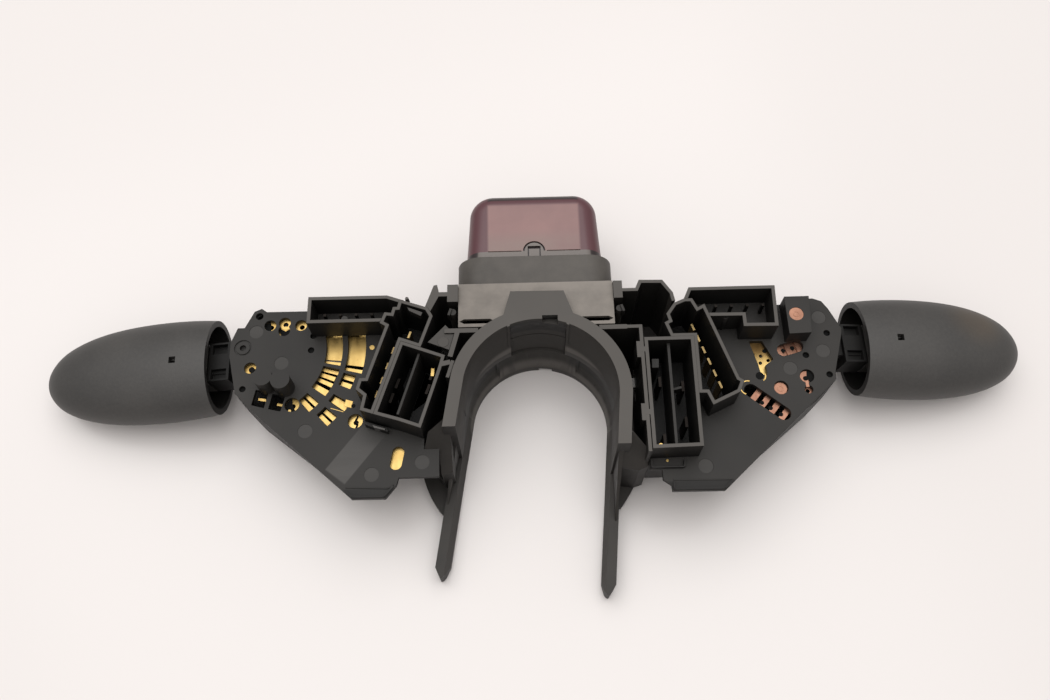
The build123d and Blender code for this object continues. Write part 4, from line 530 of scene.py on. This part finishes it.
def add_path(mesh, points, width, z0, z1):
    """Straight bars from point to point."""
    for a, b in zip(points, points[1:]):
        add_band(mesh, a, b, width, z0, z1)


def add_washer(mesh, at, inside, outside, z0, z1, start=0.0, turn=360.0):
    """A flat ring, or part of one, spun round an upright axis."""
    centre = Vector((at[0] * MM, at[1] * MM, 0))
    lean = Matrix.Rotation(radians(start), 4, "Z")
    made = []
    for radius, z in ((inside, z0), (outside, z0), (outside, z1), (inside, z1)):
        spot = lean @ Vector((radius * MM, 0, z * MM)) + centre
        made.append(bmesh.ops.create_vert(mesh, co=spot)["vert"][0])
    cap = bmesh.ops.contextual_create(mesh, geom=made)["faces"]
    spin = {"cent": centre, "axis": (0, 0, 1), "angle": radians(turn)}
    if turn == 360.0:
        outline = made + list(cap[0].edges)
        bmesh.ops.delete(mesh, geom=cap, context="FACES_ONLY")
        bmesh.ops.spin(mesh, geom=outline, steps=36, use_merge=True, **spin)
    else:
        bmesh.ops.spin(mesh, geom=cap, steps=28, **spin)


def add_sector(mesh, at, radius, start, turn, z0, z1, steps=20):
    """A flat slice of a disc."""
    spots = [radians(start + turn * step / steps) for step in range(steps + 1)]
    rim = [(at[0] + radius * cos(spot), at[1] + radius * sin(spot)) for spot in spots]
    add_prism(mesh, [at] + rim, z0, z1)


# ------------------------------------------------------------------ plate and socket details
# places in millimetres
PLATE = 32.0            # rear faces of the two contact plates
STRIPS = 30.0           # rear faces of the contact strips
RIM = 44.0              # rims of the sockets

WIPER_RIDGES = [[(-71.3, -30.4), (-56.0, -31.1), (-53.9, -29.8)],
                [(-71.2, -31.9), (-68.6, -34.0), (-57.2, -34.1), (-54.0, -30.4)]]
INDICATOR_RIDGES = [[(47.0, -30.6), (68.6, -30.9)],
                    [(47.1, -31.4), (47.1, -34.0), (65.2, -34.1), (68.4, -31.3)]]
SQUARE_BARS = [[(-106.8, 6.3), (-103.6, 5.7), (-103.7, 4.6), (-106.8, 5.2)],
               [(-99.4, 3.9), (-97.3, 3.5), (-97.4, 2.5), (-99.5, 2.9)]]
SPRING_PEG = (-94.2, 0.2)
PAD_END = [(-72.9, 3.7), (-70.2, 2.8), (-70.7, 0.2), (-73.4, 1.0)]
PAD_LINE = [(-78.5, 0.3), (-73.5, -1.3)]
WALL_STUD = (-64.0, 24.8)
RING_CAP = (-98.4, 36.2)
BRASS_CLIP = [(72.7, 23.2), (74.3, 21.2), (73.4, 19.3), (74.9, 17.7), (73.7, 16.9), (72.3, 20.4)]
CUP = (78.0, 4.3)
BLADE_FOOT = (83.0, 9.0)
RELAY_BRASS = [(41.9, -17.7), (45.2, -17.7), (44.8, -19.6), (42.1, -19.6)]
RELAY_STUD = (42.8, -19.3)
TRAY_DOT = (45.4, -23.4)
RIVETS = [((90.5, 4.1), 30.9), ((97.9, 30.8), 39.8)]     # place and height of each head
COPPER_BASE = [(92.4, 20.4), (101.2, 22.4)]
COPPER_LINK = [(100.3, 6.6), (100.5, 4.0)]
PAD_HOLES = [(83.0, -1.1), (86.0, -3.3), (89.5, -5.9), (93.8, 20.0), (97.4, 20.9), (86.6, 20.0)]
PLATE_HOLES = [(-86.9, 30.3), (-87.4, 24.3), (-112.3, 8.9), (110.9, 26.1), (109.4, 8.9),
               (101.6, 17.1), (-109.9, 17.3)]
FACE_HOLES = [((-70.0, 1.0), 0.8), (BLADE_FOOT, 1.5)]    # place and radius
OPEN_RIVET = (100.8, 8.5)
OPEN_RIVET_HOLE = (100.4, 7.9)
WINDOW_SHADES = [((-104.0, 35.2), 2.28, 100, 170), ((-98.4, 33.5), 2.28, 150, 240),
                 ((-110.2, 17.5), 2.28, -85, 100), ((-93.1, 2.1), 2.78, 100, 200)]
DISC_SLIT = [(-68.3, -2.4), (-69.2, -4.2), (-68.4, -5.6), (-69.0, -7.6)]
LATCH_BAR = [(-49.5, 36.2), (-48.8, 34.6), (-44.2, 32.2), (-43.6, 33.8)]
LATCH_PEG = (-49.6, 39.4)
LUG = [(-65.0, -6.2), (-60.7, -7.6), (-56.5, -9.2), (-56.2, -10.6), (-61.9, -8.7), (-64.9, -7.5)]
LUG_BAR = [(-62.0, -8.0), (-57.2, -9.5), (-57.4, -10.1), (-61.3, -9.0)]
WEB_DISC = (-35.6, 21.2)
CLIP_FINS = [[(-33.0, 35.6), (-33.9, 32.8)], [(31.6, 35.6), (32.5, 32.8)]]
TRAY = [(39.6, -23.1), (39.5, -25.9), (51.3, -26.0), (51.7, -23.2)]
RELAY_BLOCK = [(42.0, 14.6), (44.7, 14.5), (44.4, 10.9), (41.8, 10.9)]
RELAY_CROSS = [(48.4, 2.0), (52.2, 2.9)]
CLIP_BLADE = [(-40.0, 13.6), (-40.2, 10.4)]
CLIP_STUD = (-39.8, 17.0)


def ridges(lines):
    """A low and a higher ridge along a plate's lower edge."""
    return [(add_path, lines[0], 0.5, PLATE - 0.2, PLATE + 0.3),
            (add_path, lines[1], 0.8, PLATE - 0.2, PLATE + 0.7)]


def small_pieces():
    """Name, finish, slot, edge radius and shapes of each small piece."""
    flush = (PLATE - 0.1, PLATE + 0.08)
    strip_top = (STRIPS - 0.1, STRIPS + 0.04)
    lip = "contact_plate_plastic"
    yield "wiper_plate_lip", lip, lip, 0.12, ridges(WIPER_RIDGES)
    yield "indicator_plate_lip", lip, lip, 0.12, ridges(INDICATOR_RIDGES)
    yield "wiper_spring_ends", "brass", "brass", 0.08, [
        *[(add_prism, corners, 28.6, 29.3) for corners in SQUARE_BARS],
        (add_disc, SPRING_PEG, 0.9, STRIPS - 0.3, STRIPS + 0.5, 0.6),
        (add_prism, PAD_END, *flush),
        (add_band, *PAD_LINE, 0.3, *flush),
        (add_disc, WALL_STUD, 1.0, *flush)]
    yield "indicator_spring_ends", "brass", "brass", 0.08, [
        (add_prism, BRASS_CLIP, STRIPS - 0.4, STRIPS + 0.9),
        (add_washer, CUP, 2.5, 3.0, PLATE - 1.5, PLATE + 0.12, 70, 180),
        (add_prism, RELAY_BRASS, 30.0, 34.0),
        (add_disc, RELAY_STUD, 1.3, 34.0, 37.6, 0.9),
        (add_washer, BLADE_FOOT, 1.9, 2.5, *flush, -60, 80),
        (add_disc, TRAY_DOT, 0.5, PLATE, PLATE + 0.5)]
    yield "rivet_rings", "copper", "copper", 0.04, [
        *[(add_washer, at, 0.8, 1.25, z - 0.1, z + 0.12) for at, z in RIVETS],
        (add_band, *COPPER_BASE, 5.4, 28.7, 29.3),
        (add_band, *COPPER_LINK, 1.2, *flush)]
    # painted shadows: near-black discs and a slice in holes where the floor would show through
    yield "painted_hole_shadows", "painted_shadow_black", "lever_plastic", 0.01, [
        *[(add_disc, at, 0.85, STRIPS - 0.1, STRIPS + 0.03) for at in PAD_HOLES],
        *[(add_disc, at, 1.15, STRIPS + 0.6, STRIPS + 0.7) for at in PLATE_HOLES],
        *[(add_disc, at, radius, PLATE - 0.1, PLATE + 0.1) for at, radius in FACE_HOLES],
        (add_sector, OPEN_RIVET, 2.62, -70, 150, STRIPS + 0.8, STRIPS + 0.93),
        (add_disc, OPEN_RIVET_HOLE, 0.95, STRIPS + 0.8, STRIPS + 0.95)]
    # painted shadows in the ring windows and in the slit of one disc
    yield "painted_window_shadows", "painted_shadow_black", "lever_plastic", 0.01, [
        *[(add_sector, *shape, *strip_top) for shape in WINDOW_SHADES],
        (add_path, DISC_SLIT, 0.8, *strip_top)]
    yield "wiper_ring_cap", "brass", "brass", 0.05, [
        (add_washer, RING_CAP, 1.0, 2.15, STRIPS, STRIPS + 0.2)]
    yield "wiper_connector_latch", "socket_plastic", "socket_plastic", 0.15, [
        (add_prism, LATCH_BAR, 40.0, RIM - 0.8),
        (add_disc, LATCH_PEG, 0.9, RIM - 3, RIM + 0.2, 0.6),
        (add_prism, LUG, PLATE - 0.2, PLATE + 3.0)]
    yield "wiper_connector_catch", "dusty_plastic", "socket_plastic", 0.1, [
        (add_prism, LUG_BAR, PLATE - 0.2, PLATE + 3.6)]
    yield "web_disc", "carrier_plastic", "carrier_plastic", 0.1, [
        (add_disc, WEB_DISC, 2.1, 43.1, 43.35)]
    yield "indicator_relay_ribs", "socket_plastic", "socket_plastic", 0.15, [
        (add_path, TRAY, 0.7, PLATE - 0.3, PLATE + 1.4),
        (add_prism, RELAY_BLOCK, 23.0, 38.0),
        (add_band, *RELAY_CROSS, 1.0, 34.0, 38.0)]
    yield "clip_fins", "carrier_plastic", "carrier_plastic", 0.12, [
        (add_band, *line, 1.0, 38.0, 42.2) for line in CLIP_FINS]
    yield "wiper_relay_springs", "brass", "brass", 0.1, [
        (add_band, *CLIP_BLADE, 1.3, 30.0, 36.5),
        (add_disc, CLIP_STUD, 0.8, 34.0, 36.0)]


def add_details(finishes):
    """Make each small piece from its shapes."""
    for name, finish, slot, edge, shapes in small_pieces():
        mesh = bmesh.new()
        for shape, *values in shapes:
            shape(mesh, *values)
        put(name, mesh, finishes[finish], edge)


# ------------------------------------------------------------------ floor and light
FLOOR_HALF = 3.0                # metres
FLOOR_COLOUR = (0.74, 0.70, 0.68, 1)
SKY_COLOUR = (1.0, 0.985, 0.975, 1)
SKY_START = -0.1                # the sky brightens upwards from this slope
SKY_STRENGTH = (0.22, 1.0)
CEILING = (-0.10, 0.30, 1.30)
CEILING_SIDE = 1.6
CEILING_POWER = 13.0


def set_stage():
    """A plain pale floor under the object."""
    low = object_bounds()[0]
    mesh = bmesh.new()
    bmesh.ops.create_grid(mesh, x_segments=1, y_segments=1, size=FLOOR_HALF)
    bmesh.ops.translate(mesh, verts=mesh.verts, vec=(0, 0, low[2]))
    data = bpy.data.meshes.new("floor")
    mesh.to_mesh(data)
    floor = bpy.data.objects.new("floor", data)
    bpy.context.scene.collection.objects.link(floor)
    f = Finish("floor")
    f.set(Base_Color=FLOOR_COLOUR, Roughness=0.24, Specular_IOR_Level=0.35)
    data.materials.append(f.material)


def set_ceiling():
    """One large soft panel over the table, aimed at the object."""
    data = bpy.data.lights.new("ceiling", "AREA")
    data.shape = "RECTANGLE"
    data.size = data.size_y = CEILING_SIDE
    data.energy = CEILING_POWER
    light = bpy.data.objects.new("ceiling", data)
    place = Vector(CEILING)
    turn = place.to_track_quat("Z", "Y").to_matrix().to_4x4()
    light.matrix_world = Matrix.Translation(place) @ turn
    bpy.context.scene.collection.objects.link(light)


def set_sky():
    """Soft surrounding light that is stronger from above."""
    world = bpy.data.worlds.new("studio")
    bpy.context.scene.world = world
    world.use_nodes = True
    tree = world.node_tree
    split = tree.nodes.new("ShaderNodeSeparateXYZ")
    tree.links.new(tree.nodes.new("ShaderNodeTexCoord").outputs["Generated"], split.inputs[0])
    fade = tree.nodes.new("ShaderNodeMapRange")
    tree.links.new(split.outputs["Z"], fade.inputs["Value"])
    fade.inputs["From Min"].default_value = SKY_START
    fade.inputs["To Min"].default_value, fade.inputs["To Max"].default_value = SKY_STRENGTH
    back = tree.nodes["Background"]
    back.inputs["Color"].default_value = SKY_COLOUR
    tree.links.new(fade.outputs["Result"], back.inputs["Strength"])


set_camera()
finishes = make_finishes()
dress_nodes(finishes)
add_details(finishes)
set_stage()
set_ceiling()
set_sky()
bpy.context.scene.view_settings.view_transform = "Standard"
